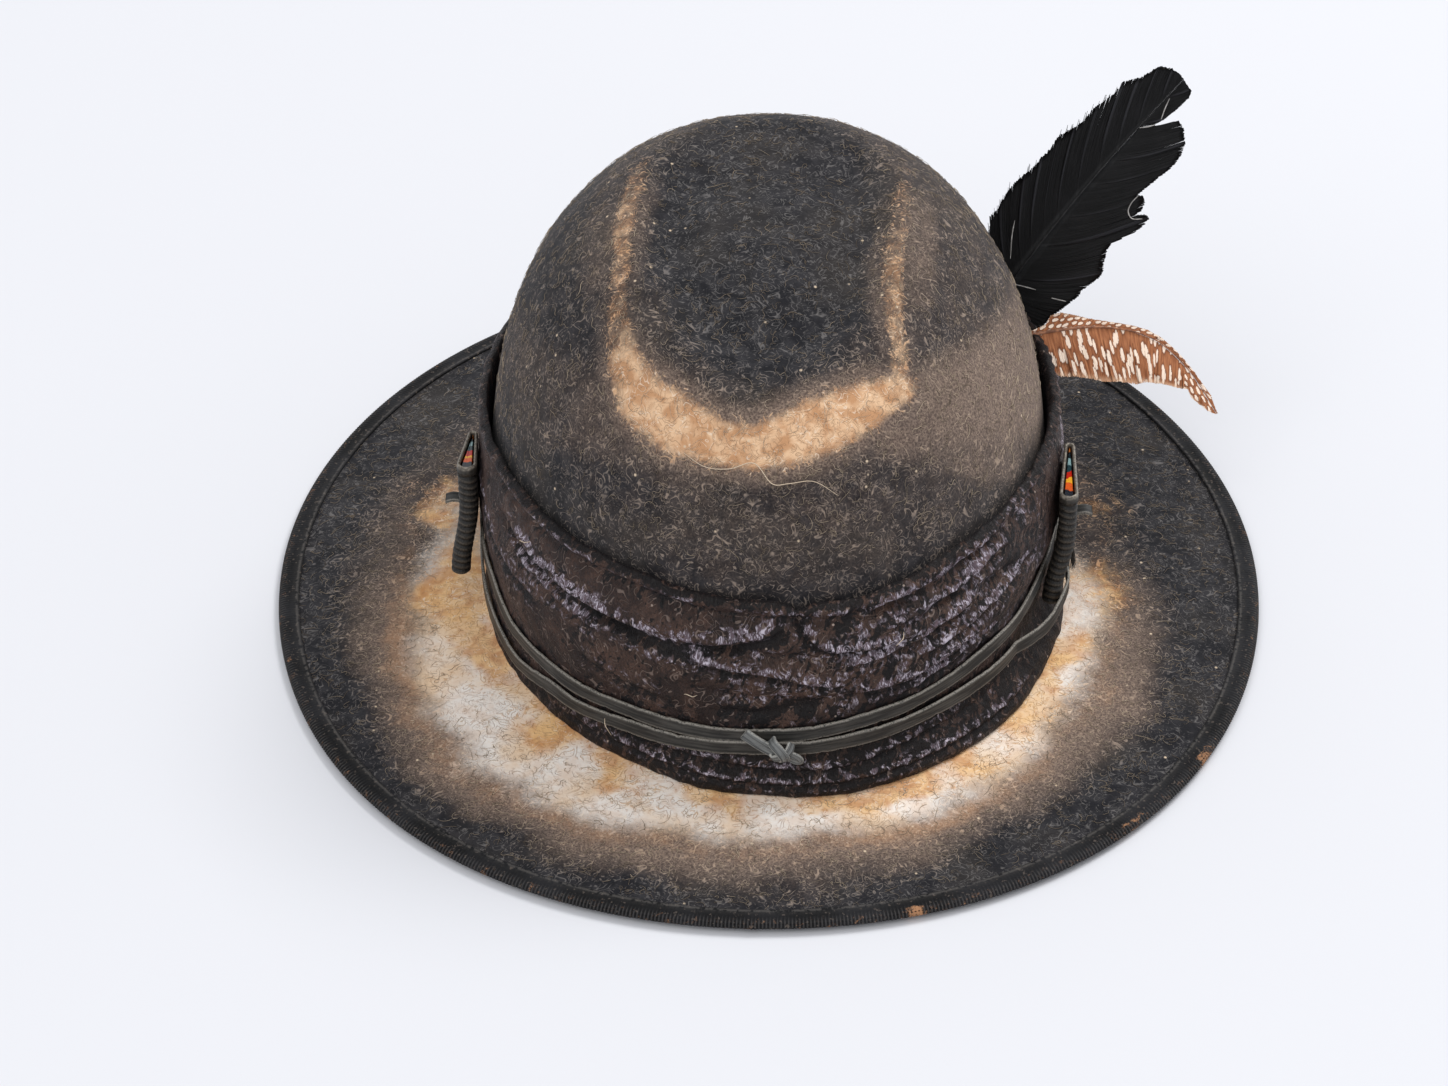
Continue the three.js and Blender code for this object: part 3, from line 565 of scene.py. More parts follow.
def black_barb_finish(nodes):
    """Black feather: fine streaks that follow the barbs, a faint bloom, and painted highlights along the raised
    start of each lock.
    """
    streak = nodes.cloudy(nodes.stretched(nodes.lay(), (1.0, 0.06, 1.0)), 9.0, 3.0)
    bloom = nodes.noise(nodes.place(), 9, 2.0)
    colour = nodes.blend(streak, 0.35, 0.7, (5, 5, 6), (13, 13, 15))
    colour = nodes.mix(nodes.fit(bloom, 0.5, 0.7, 0.0, 0.4), colour, (24, 23, 25))
    # painted highlight along each lock's raised start
    colour = nodes.over(colour, nodes.field("lock_highlight"), 0.6, (50, 50, 55))
    return {"Base Color": colour, "Normal": nodes.bump(streak, 0.1, 0.7),
            "Roughness": nodes.fit(streak, 0.3, 0.7, 0.62, 0.44)}


def spotted_barb_finish(nodes):
    """Copper-brown feather: cream bars on the wide vane, a row of dots on the narrow one, dots at the tip.

    The uv is the place of the barb's root along the quill and the distance along the barb, in centimetres.
    Cells stretched along the barbs give the bars. Each has a darker outline.
    """
    lay = nodes.lay()
    narrow = nodes.field("narrow")
    tipward = nodes.field("tipward")
    ripple = nodes.cloudy(lay, 3.0, 1.0, out=1)
    wavy = nodes.add("MixRGB", {0: 0.12, 1: lay, 2: ripple})

    def cells(scale, wander):
        sockets = {"Vector": nodes.stretched(wavy, scale), "Scale": 1.0, "Randomness": wander}
        return nodes.add("TexVoronoi", sockets, voronoi_dimensions="2D")

    bars = cells((6.0, 1.55, 1.0), 0.9)
    dots = cells((4.4, 4.8, 1.0), 0.35)
    round_share = nodes.higher(narrow, nodes.fit(tipward, 0.76, 0.84))
    shape = nodes.add("Mix", {0: round_share, 2: bars, 3: dots}, data_type="FLOAT")
    jitter = nodes.times(nodes.less(nodes.noise(nodes.place(), 1.6, 2.0), 0.5), 0.14)
    shape = nodes.plus(shape, jitter)
    streak = nodes.cloudy(nodes.stretched(lay, (1.0, 0.1, 1.0)), 14.0, 2.0)
    brown = nodes.blend(streak, 0.3, 0.7, (146, 88, 54), (190, 126, 84))
    colour = nodes.mix(nodes.fit(shape, 0.3, 0.52, 0.8, 0.0), brown, (104, 56, 32))
    colour = nodes.mix(nodes.fit(shape, 0.29, 0.36, 1.0, 0.0), colour, (255, 234, 214))
    colour = nodes.over(colour, nodes.fit(nodes.field("barb_end"), 0.86, 1.0), 0.55, (224, 184, 150))
    return {"Base Color": colour, "Normal": nodes.bump(streak, 0.08, 0.5)}


def quill_finish(dark, pale):
    """A quill's horn, streaked along itself."""
    def build(nodes):
        return {"Base Color": nodes.blend(nodes.noise(nodes.place(), 2.2, 3.0, 0.4), 0.35, 0.65, dark, pale)}
    return build


def fibre_finish(nodes):
    """Loose wool fibres, each with its own stored shade from grey-brown to pale straw."""
    return {"Base Color": nodes.mix(nodes.field("shade"), (70, 60, 52), (226, 206, 180))}


def floor_finish(nodes):
    """Plain pale studio surface."""
    return {"Base Color": nodes.mix(nodes.noise(nodes.place(), 400, 1.0), (229, 230, 234), (231, 232, 236))}


felt_wool = make_material("worn_charcoal_felt", felt_finish, roughness=0.95, specular=0.1, sheen=0.06,
                          sheen_roughness=0.6)
binding_ribbon = make_material("black_grosgrain", ribbon_finish, specular=0.22, sheen=0.03)
crushed_velvet = make_material("crushed_brown_velvet", velvet_finish, specular=0.3, sheen=0.03,
                               sheen_roughness=0.4, sheen_tint=rgb(196, 184, 206))
grey_lace, knot_lace, dark_lace = [
    make_material(name, strap_finish(*tints), specular=0.4) for name, tints in (
        ("grey_lace_leather", ((34, 34, 33), (70, 69, 66), (158, 152, 142))),
        ("pale_knot_leather", ((78, 80, 80), (142, 144, 142), (196, 194, 186))),
        ("dark_wound_leather", ((15, 14, 13), (46, 43, 40), (96, 88, 78))))]
dull_rim = make_material("dull_beige_rim", rim_finish, metallic=0.35, specular=0.4)
polished_chips = make_material("polished_chips", chip_finish, roughness=0.12, specular=0.6, coat=0.6,
                               coat_roughness=0.05)
black_barbs = make_material("black_barbs", black_barb_finish, specular=0.35)
spotted_barbs = make_material("spotted_barbs", spotted_barb_finish, roughness=0.6, specular=0.3)
black_horn, brown_horn, pale_shaft = [
    make_material(name, quill_finish(dark, pale), roughness=roughness) for name, dark, pale, roughness in (
        ("black_quill_horn", (20, 20, 21), (44, 43, 43), 0.4),
        ("brown_quill_horn", (112, 66, 40), (168, 112, 76), 0.45),
        ("pale_barb_shaft", (150, 146, 142), (196, 192, 188), 0.5))]
wool_fibre = make_material("loose_wool_fibre", fibre_finish, roughness=0.8, specular=0.2)
pale_floor = make_material("pale_floor", floor_finish, roughness=0.9, specular=0.1)

CROWN_HALF_WIDTH, CROWN_HALF_LENGTH, CROWN_MIDDLE_Y = 86.5, 102.5, -5.0
CROWN_FOOT, CROWN_HEIGHT, CROWN_MEAN_RADIUS = 8.0, 146.5, 95
FELT_THICKNESS, FELT_UNDER, FELT_EDGE = 2.2, 0.95, 0.95
FELT_TOP = FELT_UNDER + FELT_THICKNESS
EDGE_ROUNDING, FELT_EDGE_UNDER = 0.4, 1.75
BRIM_HALF_WIDTH, BRIM_HALF_LENGTH, FOOT_RADIUS, FLAT_RIM = 155.0, 169.0, 5.0, 8.0


def crown_share(z):
    """The crown's plan at a height, as a share of its foot: a lean times a superellipse's height law."""
    t = np.clip((z - CROWN_FOOT) / CROWN_HEIGHT, 0, 1)
    return (1 - 0.01 * t) * (1 - t**3.65) ** (1 / 2.07)


def crown_point(angle, z, proud=0.0):
    """A point on the crown's side, or so many millimetres proud of it: an oval of the share's size at z."""
    share = crown_share(z)
    x = (CROWN_HALF_WIDTH * share + proud) * np.cos(angle)
    y = CROWN_MIDDLE_Y + (CROWN_HALF_LENGTH * share + proud) * np.sin(angle)
    return np.stack(np.broadcast_arrays(x, y, z), -1).astype(float)


def in_dent(x, y):
    """1 inside the oval of the pressed hollow in the top, eased to 0 at its edge."""
    return 1 - ease(0.62, 1.02, np.hypot(x / 42, (y + 15) / 72))


def dent_drop(x, y):
    """Depth of the pressed hollow: full inside its oval, eased out at the edge and to the back."""
    return 10 * in_dent(x, y) * (1 - ease(2, 46, y))


def brim_outline(angle, inset, z):
    """The brim's oval, so far inside its edge, with the front quarters 1.6% fuller."""
    front = np.where(np.sin(angle) < 0, 0.016 * np.sin(2 * angle) ** 2, 0.0)
    x = (BRIM_HALF_WIDTH - inset) * (1 + front) * np.cos(angle)
    y = (BRIM_HALF_LENGTH - inset) * (1 + front) * np.sin(angle)
    return np.stack(np.broadcast_arrays(x, y, z), -1).astype(float)


def brim_point(angle, share):
    """The brim's top from the crown's fillet to its edge: it falls as share to the 1.3, then lies flat."""
    foot = crown_point(angle, CROWN_FOOT, FOOT_RADIUS)
    edge = brim_outline(angle, FELT_EDGE, FELT_TOP)
    flat_from = 1 - FLAT_RIM / (BRIM_HALF_WIDTH - CROWN_HALF_WIDTH - FOOT_RADIUS)
    p = foot + (edge - foot) * share[..., None]
    p[..., 2] = CROWN_FOOT + (FELT_TOP - CROWN_FOOT) * np.clip(share / flat_from, 0, 1) ** 1.3
    return p


def fillet_height(proud):
    """Height of the felt between crown and brim, so far out from the wall, as two flats."""
    return np.interp(proud, [0, 1.5, 5], [13, 9.4, 8])


def around(rows, column, angle):
    """Reads one column of a table of places round the hat, eased from row to row."""
    at = np.array([row[0] for row in rows] + [rows[0][0] + 360.0])
    value = np.array([row[column] for row in rows] + [rows[0][column]], float)
    degrees = signed_degrees(angle)
    k = np.clip(np.searchsorted(at, degrees, side="right") - 1, 0, len(at) - 2)
    return value[k] + (value[k + 1] - value[k]) * ease(0, 1, (degrees - at[k]) / (at[k + 1] - at[k]))


FELT_STATIONS, CROWN_ROWS, BRIM_ROWS = 400, 118, 48


def felt_outside():
    """The felt's outside from the top of the crown to the brim's edge, as a grid of angle by profile.

    The crown's heights go as the sine of a turning angle to the 2 / 3.65, less the dent. Then come the
    fillet's quarter round and the brim. Wide soft lumps make the surface hand-shaped.
    """
    angle = stops(FELT_STATIONS)[:, None]
    turn = np.radians(np.linspace(89, 0.4, CROWN_ROWS))[None]
    height = CROWN_FOOT + CROWN_HEIGHT * np.sin(turn) ** (2 / 3.65)
    height = np.maximum(height, CROWN_FOOT + FOOT_RADIUS + 0.5)
    crown = crown_point(angle, height)
    crown[..., 2] -= dent_drop(crown[..., 0], crown[..., 1])
    bend = np.radians([10, 30, 50, 70, 90])[None]
    fillet = crown_point(angle, CROWN_FOOT, FOOT_RADIUS * (1 - np.cos(bend)))
    fillet[..., 2] = CROWN_FOOT + FOOT_RADIUS * (1 - np.sin(bend))
    out = np.linspace(0, 1, BRIM_ROWS + 1)[1:]
    brim = brim_point(angle, np.broadcast_to(out, (FELT_STATIONS, BRIM_ROWS)))
    skin = np.concatenate([crown, fillet, brim], 1)
    across = unit(np.cross(np.roll(skin, -1, 0) - np.roll(skin, 1, 0), np.gradient(skin, axis=1)))
    across *= np.sign(across[..., 2:] + 1e-9)
    row = np.arange(skin.shape[1])
    on_crown = (1 - ease(70, 92, row)) * ease(0, 6, row)
    brim_row = row - CROWN_ROWS - bend.size
    on_brim = ease(8, 22, brim_row) * (1 - ease(32, 44, brim_row))
    relief = 0.32 * lumps(skin, 75, 5) + 0.14 * lumps(skin, 24, 6)
    return skin + across * (relief * (on_crown + on_brim))[..., None], across


CREAM_RING = [
    # degrees round, outer edge of the cream, outer edge of the brown, cream strength, orange strength
    (-180, 0.75, 0.86, 0.55, 0.85), (-166, 0.75, 0.86, 0.80, 1.00), (-156, 0.78, 0.87, 0.95, 0.90),
    (-147, 0.82, 0.89, 1.00, 0.65), (-131, 0.815, 0.90, 1.00, 0.40), (-115, 0.815, 0.90, 1.00, 0.62),
    (-100, 0.80, 0.895, 1.00, 0.35), (-86, 0.82, 0.895, 1.00, 0.35), (-75, 0.80, 0.885, 1.00, 0.75),
    (-63, 0.79, 0.87, 0.98, 0.75), (-51, 0.765, 0.855, 0.95, 0.45), (-39, 0.745, 0.85, 0.95, 0.40),
    (-29, 0.73, 0.845, 0.92, 0.45), (-19, 0.715, 0.82, 0.85, 0.40), (-8, 0.69, 0.79, 0.62, 0.50),
    (4, 0.66, 0.77, 0.35, 0.45), (18, 0.64, 0.75, 0.18, 0.35), (50, 0.65, 0.75, 0.30, 0.20),
    (95, 0.68, 0.77, 0.45, 0.30), (135, 0.70, 0.80, 0.35, 0.30), (160, 0.73, 0.84, 0.40, 0.55),
]

# brushed marks on the crown: x, y, z, half width and strength
CROWN_MARK = [
    (-38, 17, 144, 3.2, 0.3), (-40, 1, 145, 3.4, 0.44), (-43, -16, 143, 3.6, 0.56),
    (-43, -33, 140, 3.4, 0.48), (-44, -45, 135, 4, 0.42), (-43, -56, 130, 5, 0.52), (-41, -65, 125, 6.4, 0.74),
    (-36, -74, 120, 8, 0.92), (-26, -82, 117, 8, 1), (-14, -88, 115, 6.4, 0.95), (-3, -90, 115, 6.4, 1),
    (7, -88, 117, 7.6, 1), (17, -84, 119, 8, 1), (28, -78, 121, 6.6, 0.95), (38, -71, 122, 4.6, 0.75),
    (43, -67, 122, 3, 0.35),
]
CROWN_MARK_RIGHT = [(38, -70, 124, 3.4, 0.6), (37, -61, 130, 3.4, 0.48), (36, -51, 137, 3.4, 0.5),
                    (36, -40, 140, 3.5, 0.5), (37, -27, 142, 3.5, 0.44), (39, -8, 145, 3.4, 0.32),
                    (41, 14, 143, 2.6, 0.18)]
CROWN_BROWN = [
    [(44, 24, 141, 8, 0.12), (45, 4, 142, 9, 0.4), (44, -14, 142, 9, 0.6), (43, -28, 142, 9, 0.62),
     (43, -42, 137, 9, 0.55)],
    [(50, -74, 104, 9, 0.6), (60, -65, 96, 11, 0.7), (72, -51, 86, 11, 0.65), (78, -36, 83, 9, 0.5)],
    [(-82, -5, 92, 22, 0.35), (-66, -49, 104, 18, 0.35), (-47, -71, 112, 14, 0.5), (-20, -90, 106, 10, 0.45)],
    [(37, -76, 115, 14, 0.75), (69, -46, 104, 20, 0.95), (80, -20, 94, 24, 0.9), (82, 20, 90, 20, 0.5)],
    [(18, -97, 94, 5, 0.45), (24, -95, 92, 5, 0.4)],
    [(-48, -30, 138, 12, 0.45), (-42, 30, 140, 12, 0.3), (-30, 60, 130, 14, 0.35), (20, 70, 125, 16, 0.3)],
]


def felt_marks(p):
    """The worn marks as values on points: brushed strokes on the crown, and rings on the brim that run from
    the band out to edges given round the hat, as shares of the brim's oval. The orange one stays near the
    band, and a dusty brown covers the crown outside its dent, stronger towards +X, where it is painted light
    from that side."""
    angle = np.degrees(np.arctan2(p[..., 1] / BRIM_HALF_LENGTH, p[..., 0] / BRIM_HALF_WIDTH))
    share = np.hypot(p[..., 0] / BRIM_HALF_WIDTH, p[..., 1] / BRIM_HALF_LENGTH)
    ring = np.array(CREAM_RING)
    cream_to, brown_to, creamy, orangey = [
        np.interp(angle, ring[:, 0], column, period=360) for column in ring.T[1:]]
    wander = 0.012 * lumps(p, 46, 8) + 0.008 * lumps(p, 15, 9)
    on_brim = 1 - ease(12, 30, p[..., 2])
    past_cream = share + wander - cream_to
    cream = creamy * on_brim * (1 - ease(-0.085, 0.055, past_cream))
    fringe = creamy * on_brim * (0.2 + 0.6 * orangey) * bell(past_cream - 0.01, 0.04)
    brown = on_brim * np.maximum(creamy, 0.4) * (1 - ease(-0.075, 0.075, share + wander - brown_to))
    near_band = 1 - ease(0.66, 0.79, share + 2.5 * wander)
    orange = orangey * on_brim * near_band * (0.75 + 0.25 * np.clip(lumps(p, 22, 10), -1, 1))
    crown_oval = np.hypot(p[..., 0] / CROWN_HALF_WIDTH, (p[..., 1] - CROWN_MIDDLE_Y) / CROWN_HALF_LENGTH)
    past_band = CROWN_MEAN_RADIUS * (crown_oval - 1) - 4 - 8 * bell(angle + 62, 45)
    beside_band = 1 - ease(3, 17, past_band + 4 * lumps(p, 18, 14))
    patchy = 0.55 + 0.3 * np.clip(lumps(p, 20, 15), -1, 1) + 0.35 * orangey
    orange = np.maximum(orange, creamy * on_brim * beside_band * patchy)
    tan = np.maximum(stroke_field(p, CROWN_MARK), stroke_field(p, CROWN_MARK_RIGHT))
    for rows in CROWN_BROWN:
        brown = np.maximum(brown, stroke_field(p, rows))
    dust_and_side_light = ease(40, 90, p[..., 2]) * (1 - in_dent(p[..., 0], p[..., 1]))
    # dust over the crown, plus painted light: more of the paler brown towards +X, the lit side
    brown = np.maximum(brown, 0.36 * dust_and_side_light * (0.55 + 0.45 * ease(-70, -10, p[..., 0])))
    halo = stroke_field(p, [(*row[:3], row[3] + 5, row[4]) for row in CROWN_MARK + CROWN_MARK_RIGHT[::-1]])
    return {"cream": cream, "brown": np.maximum(brown, halo), "orange": orange, "tan": tan, "fringe": fringe}


def build_felt():
    """One closed shell: the outside skin, and an inside skin one felt thickness under it, on fewer rows."""
    outside, across = felt_outside()
    rows = outside.shape[1]
    picked = np.unique(np.concatenate([np.arange(0, CROWN_ROWS, 4), np.arange(CROWN_ROWS, rows, 4)]))[::-1]
    inside = (outside - FELT_THICKNESS * across)[:, picked]
    inside[:, 0] = brim_outline(stops(FELT_STATIONS), FELT_EDGE + EDGE_ROUNDING, FELT_EDGE_UNDER)
    rim = outside[:, -1:].copy()
    outside[:, -1, :2] *= 1 - EDGE_ROUNDING / BRIM_HALF_WIDTH
    rim[..., 2] -= FELT_THICKNESS / 2
    grid = np.concatenate([outside, rim, inside], 1)
    nv = grid.shape[1]
    quads, _ = grid_faces(FELT_STATIONS, nv, wrap_u=True)
    ends = np.arange(FELT_STATIONS) * nv
    marks = felt_marks(grid)
    shown = (np.arange(nv) < rows + 1).astype(float)
    fields = {label: values * shown for label, values in marks.items()}
    make_piece("felt_shell", grid, [quads, ends[None, ::-1], (ends + nv - 1)[None]], felt_wool,
               ["felt_body"], fields=fields)
    return outside, across


felt_skin, felt_normals = build_felt()


def build_fibres(name, seed, on_crown, count=3000):
    """Curly wool fibres on the felt: each bends in its own circle and wave in the surface's plane."""
    draw = np.random.default_rng(seed)
    z = felt_skin[..., 2]
    share = np.hypot(felt_skin[..., 0] / BRIM_HALF_WIDTH, felt_skin[..., 1] / BRIM_HALF_LENGTH)
    place = z > 80 if on_crown else (share > 0.70) & (share < 0.955) & (z < 9)
    open_felt = place & (np.arange(felt_skin.shape[1]) > 4)
    step = np.linalg.norm(np.roll(felt_skin, -1, 0) - felt_skin, axis=-1)
    weight = (open_felt * step * np.linalg.norm(np.gradient(felt_skin, axis=1), axis=-1)).ravel()
    chosen = draw.choice(weight.size, count, p=weight / weight.sum())
    start = felt_skin.reshape(-1, 3)[chosen] + draw.normal(0, 0.5, (count, 3))
    normal = felt_normals.reshape(-1, 3)[chosen]
    start -= normal * np.sum((start - felt_skin.reshape(-1, 3)[chosen]) * normal, -1, keepdims=True)
    side = unit(np.cross(normal, draw.normal(size=(count, 3))))
    ahead = np.cross(normal, side)
    steps = 10
    t = np.linspace(0, 1, steps)[None]
    length = draw.uniform(2.2, 7.0, (count, 1))
    heading = draw.uniform(-4.2, 4.2, (count, 1)) * t + draw.uniform(-1.4, 1.4, (count, 1)) * np.sin(
        TAU * t * draw.uniform(0.6, 1.6, (count, 1)))
    du, dv = np.cos(heading) * length / steps, np.sin(heading) * length / steps
    u, v = np.cumsum(du, 1), np.cumsum(dv, 1)
    lift = 0.05 + draw.uniform(0.0, 0.3, (count, 1)) * np.sin(np.pi * t)
    normal = normal[:, None]
    paths = start[:, None] + side[:, None] * u[..., None] + ahead[:, None] * v[..., None] + (
        normal * lift[..., None])
    wide = draw.uniform(0.05, 0.085, (count, 1)) * (1 - 0.6 * t**3)
    points, faces = bundle(paths, normal, wide, wide, TRIANGLE, normal)
    marks = felt_marks(start)
    pale = np.maximum(marks["cream"], marks["tan"])
    shade = draw.beta(1.6, 2.4, count) * (0.35 + 0.65 * marks["brown"]) + 0.1
    shade = shade + (0.46 - 0.6 * shade) * np.clip(pale, 0, 1)
    shade = np.broadcast_to(shade[:, None, None], points.shape[:3])
    make_piece(name, points, faces, wool_fibre, fields={"shade": shade})


build_fibres("crown_fibres", 12, True)
build_fibres("brim_fibres", 13, False)

RIBS, RIB_STEPS = 910, 4
SEAM_ANGLE, SEAM_WIDTH = TAU * 3 / 4 - 0.03, 0.01
BINDING_PROFILE = [
    # inset from the edge, height, how strongly the ribs show, stitch line
    (6.7, 3.35, 0, 0), (6.75, 3.9, 0.1, 0), (6.4, 4.22, 0.2, 0.3), (5.9, 4.12, 0.2, 1), (5.3, 4.05, 0.25, 0.2),
    (3.6, 4.1, 0.35, 0), (2.1, 4.05, 0.7, 0), (1.2, 3.8, 1, 0), (0.45, 3.25, 1, 0), (0.1, 2.3, 1, 0),
    (0.5, 1.9, 1, 0), (1.6, 1.4, 0.8, 0), (3.2, 0.9, 0.3, 0), (5.2, 0.3, 0.1, 0), (6.3, 0.0, 0.1, 0),
    (6.3, 0.62, 0, 0), (3.4, 1.2, 0, 0), (1.2, 2.0, 0, 0), (0.8, 3.45, 0, 0),
]


def build_binding():
    """Ribbon folded over the brim's edge: its profile goes round the oval, and ribs push it out by a cosine
    along the edge times the profile's own rib strength. The seam at the front is a small raised lap."""
    angle = stops(RIBS * RIB_STEPS)[:, None]
    profile_inset, height, ribbed, stitch = np.array(BINDING_PROFILE).T[:, None]
    rib = 0.5 + 0.5 * np.cos(angle * RIBS)
    proud = 0.2 * (rib - 1) * ribbed
    seam = bell(angle - SEAM_ANGLE, SEAM_WIDTH) * ribbed
    points = brim_outline(angle, profile_inset - proud - 0.22 * seam, 0.0)
    points[..., 2] = np.clip(height + np.where(height > 3, proud * 0.8, 0), 0, 4.3)
    quads, _ = grid_faces(*points.shape[:2], wrap_u=True, wrap_v=True)
    degrees = signed_degrees(angle)
    worn = 0.75 * bell(degrees + 74, 1.0) + 0.3 * bell(degrees + 47, 2) + 0.45 * bell(degrees + 33, 1.5) + 0.3
    # crest feeds the painted highlight on the rib crests
    make_piece("ribbed_binding", points, [quads], binding_ribbon, ["brim_binding"],
               fields={"crest": rib * ribbed, "stitch": stitch + 0 * angle, "worn": worn * (ribbed > 0.5)})


build_binding()

BAND_FOOT, EVEN_TO, TOP_ROW, HEM_RISE = 9.2, 56.0, 74.5, 2.1
BAND_FORM = [
    # degrees round, how far the velvet stands off at foot, waist, middle and top, and its hem's height
    (-180, 2.2, 2, 3.6, 4.2, 76.6), (-150, 3.8, 3, 4.4, 3.6, 77.4), (-120, 5.2, 4.5, 5.6, 3.4, 76),
    (-97, 9.2, 6.2, 6.8, 3.6, 73.3), (-75, 12, 6.8, 7.6, 3.8, 70.8), (-45, 11.4, 5, 6.8, 3.8, 75.5),
    (-20, 8.4, 2, 5.4, 4.2, 77), (0, 6, 2.6, 5.2, 4.8, 76.6), (60, 5.5, 3.4, 5, 4.4, 76.6),
    (120, 4.6, 3, 4.6, 4.4, 76.6),
]
LACE_LINE = [
    # degrees round, then the heights of the upper and the lower lace
    (-180, 34, 23), (-161, 32, 18), (-148, 26.6, 16), (-133, 26.6, 20), (-112, 28.4, 23), (-90, 29, 24.7),
    (-66, 32, 25.7), (-40, 35, 25.6), (-22, 34.5, 26), (0, 36, 30.4), (60, 33, 26), (120, 33, 25),
]
# width of the strip that a lace presses flat, and its gap to the velvet, then its own width and thickness
LACE_WIDTH, LACE_CLEARANCE, LACE_SPREAD, LACE_BODY = 3.8, 0.45, 4.9, 1.05
UPPER, LOWER = 1, 2
# how far each lace at least stands off beside the right ornament, and how far it lies out over its place
LACE_LIFT, LACE_OUT = {UPPER: 0.0, LOWER: 9.1}, {UPPER: 0.0, LOWER: 0.3}
CREASES = [
    # from and to in degrees, low and high end heights, depth, width: the long creases of the solid band
    (-158, -128, 62, 55.5, 1.8, 2.4), (-136, -92, 55.5, 58.5, 2.6, 2.4), (-100, -68, 59, 52.5, 2.4, 2.4),
    (-108, -70, 44, 39, 1.8, 2.2), (-74, -34, 47, 60, 1.8, 2.4), (-66, -24, 66, 52, 1.4, 2.2),
    (8, 84, 58, 50, 1.8, 2.6), (70, 150, 44, 56, 1.8, 2.6),
]


def crease_dip(angle, z):
    """Depth of the long creases: each runs straight between its ends and fades out at both."""
    degrees = signed_degrees(angle)
    dip = 0.0
    for start, end, low, high, depth, width in CREASES:
        along = (degrees - start) / (end - start)
        strength = ease(0, 0.22, along) * ease(0, 0.22, 1 - along)
        dip = dip + depth * strength * bell(z - low - (high - low) * along, width)
    return dip


def velvet_proud(angle, z, creased=True):
    """How far the velvet stands off the crown: a flared foot eased to a waist under the laces, then to a full
    middle and to the top, less the long creases."""
    foot, waist, middle, top = (around(BAND_FORM, column, angle) for column in (1, 2, 3, 4))
    low = around(LACE_LINE, LOWER, angle) - 0.7 * LACE_WIDTH
    high = around(LACE_LINE, UPPER, angle) + 0.7 * LACE_WIDTH
    flared = foot + (waist - foot) * ease(BAND_FOOT, low, z)
    filled = flared + (middle - flared) * ease(high, high + 10, z)
    closed = filled + (top - filled) * ease(EVEN_TO, TOP_ROW, z)
    return closed - crease_dip(angle, z) if creased else closed


def lace_proud(angle, which):
    """Where a lace's inside lies: the velvet's highest place across the lace plus a clearance. The lower lace
    is lifted past the foot of the right ornament."""
    height = around(LACE_LINE, which, angle)
    rows = np.array([75, 69, 64, 60, 56, 51, 46, 42, 38, 34, 30, 25, 20, 14.5, 9.2])[::-1]
    proud = np.zeros_like(height)
    for step in np.linspace(-1, 1, 9):
        z = height + step * LACE_WIDTH / 2
        k = np.clip(np.searchsorted(rows, z) - 1, 0, len(rows) - 2)
        low, high = velvet_proud(angle, rows[k]), velvet_proud(angle, rows[k + 1])
        proud = np.maximum(proud, low + (high - low) * (z - rows[k]) / (rows[k + 1] - rows[k]))
    offset = signed_degrees(angle) + 22
    away = np.maximum(0, np.abs(offset) - 4)
    lifted = LACE_LIFT[which] * (1 - ease(0, 1, away / np.where(offset < 0, 20, 14)))
    return np.maximum(proud + LACE_CLEARANCE, lifted)


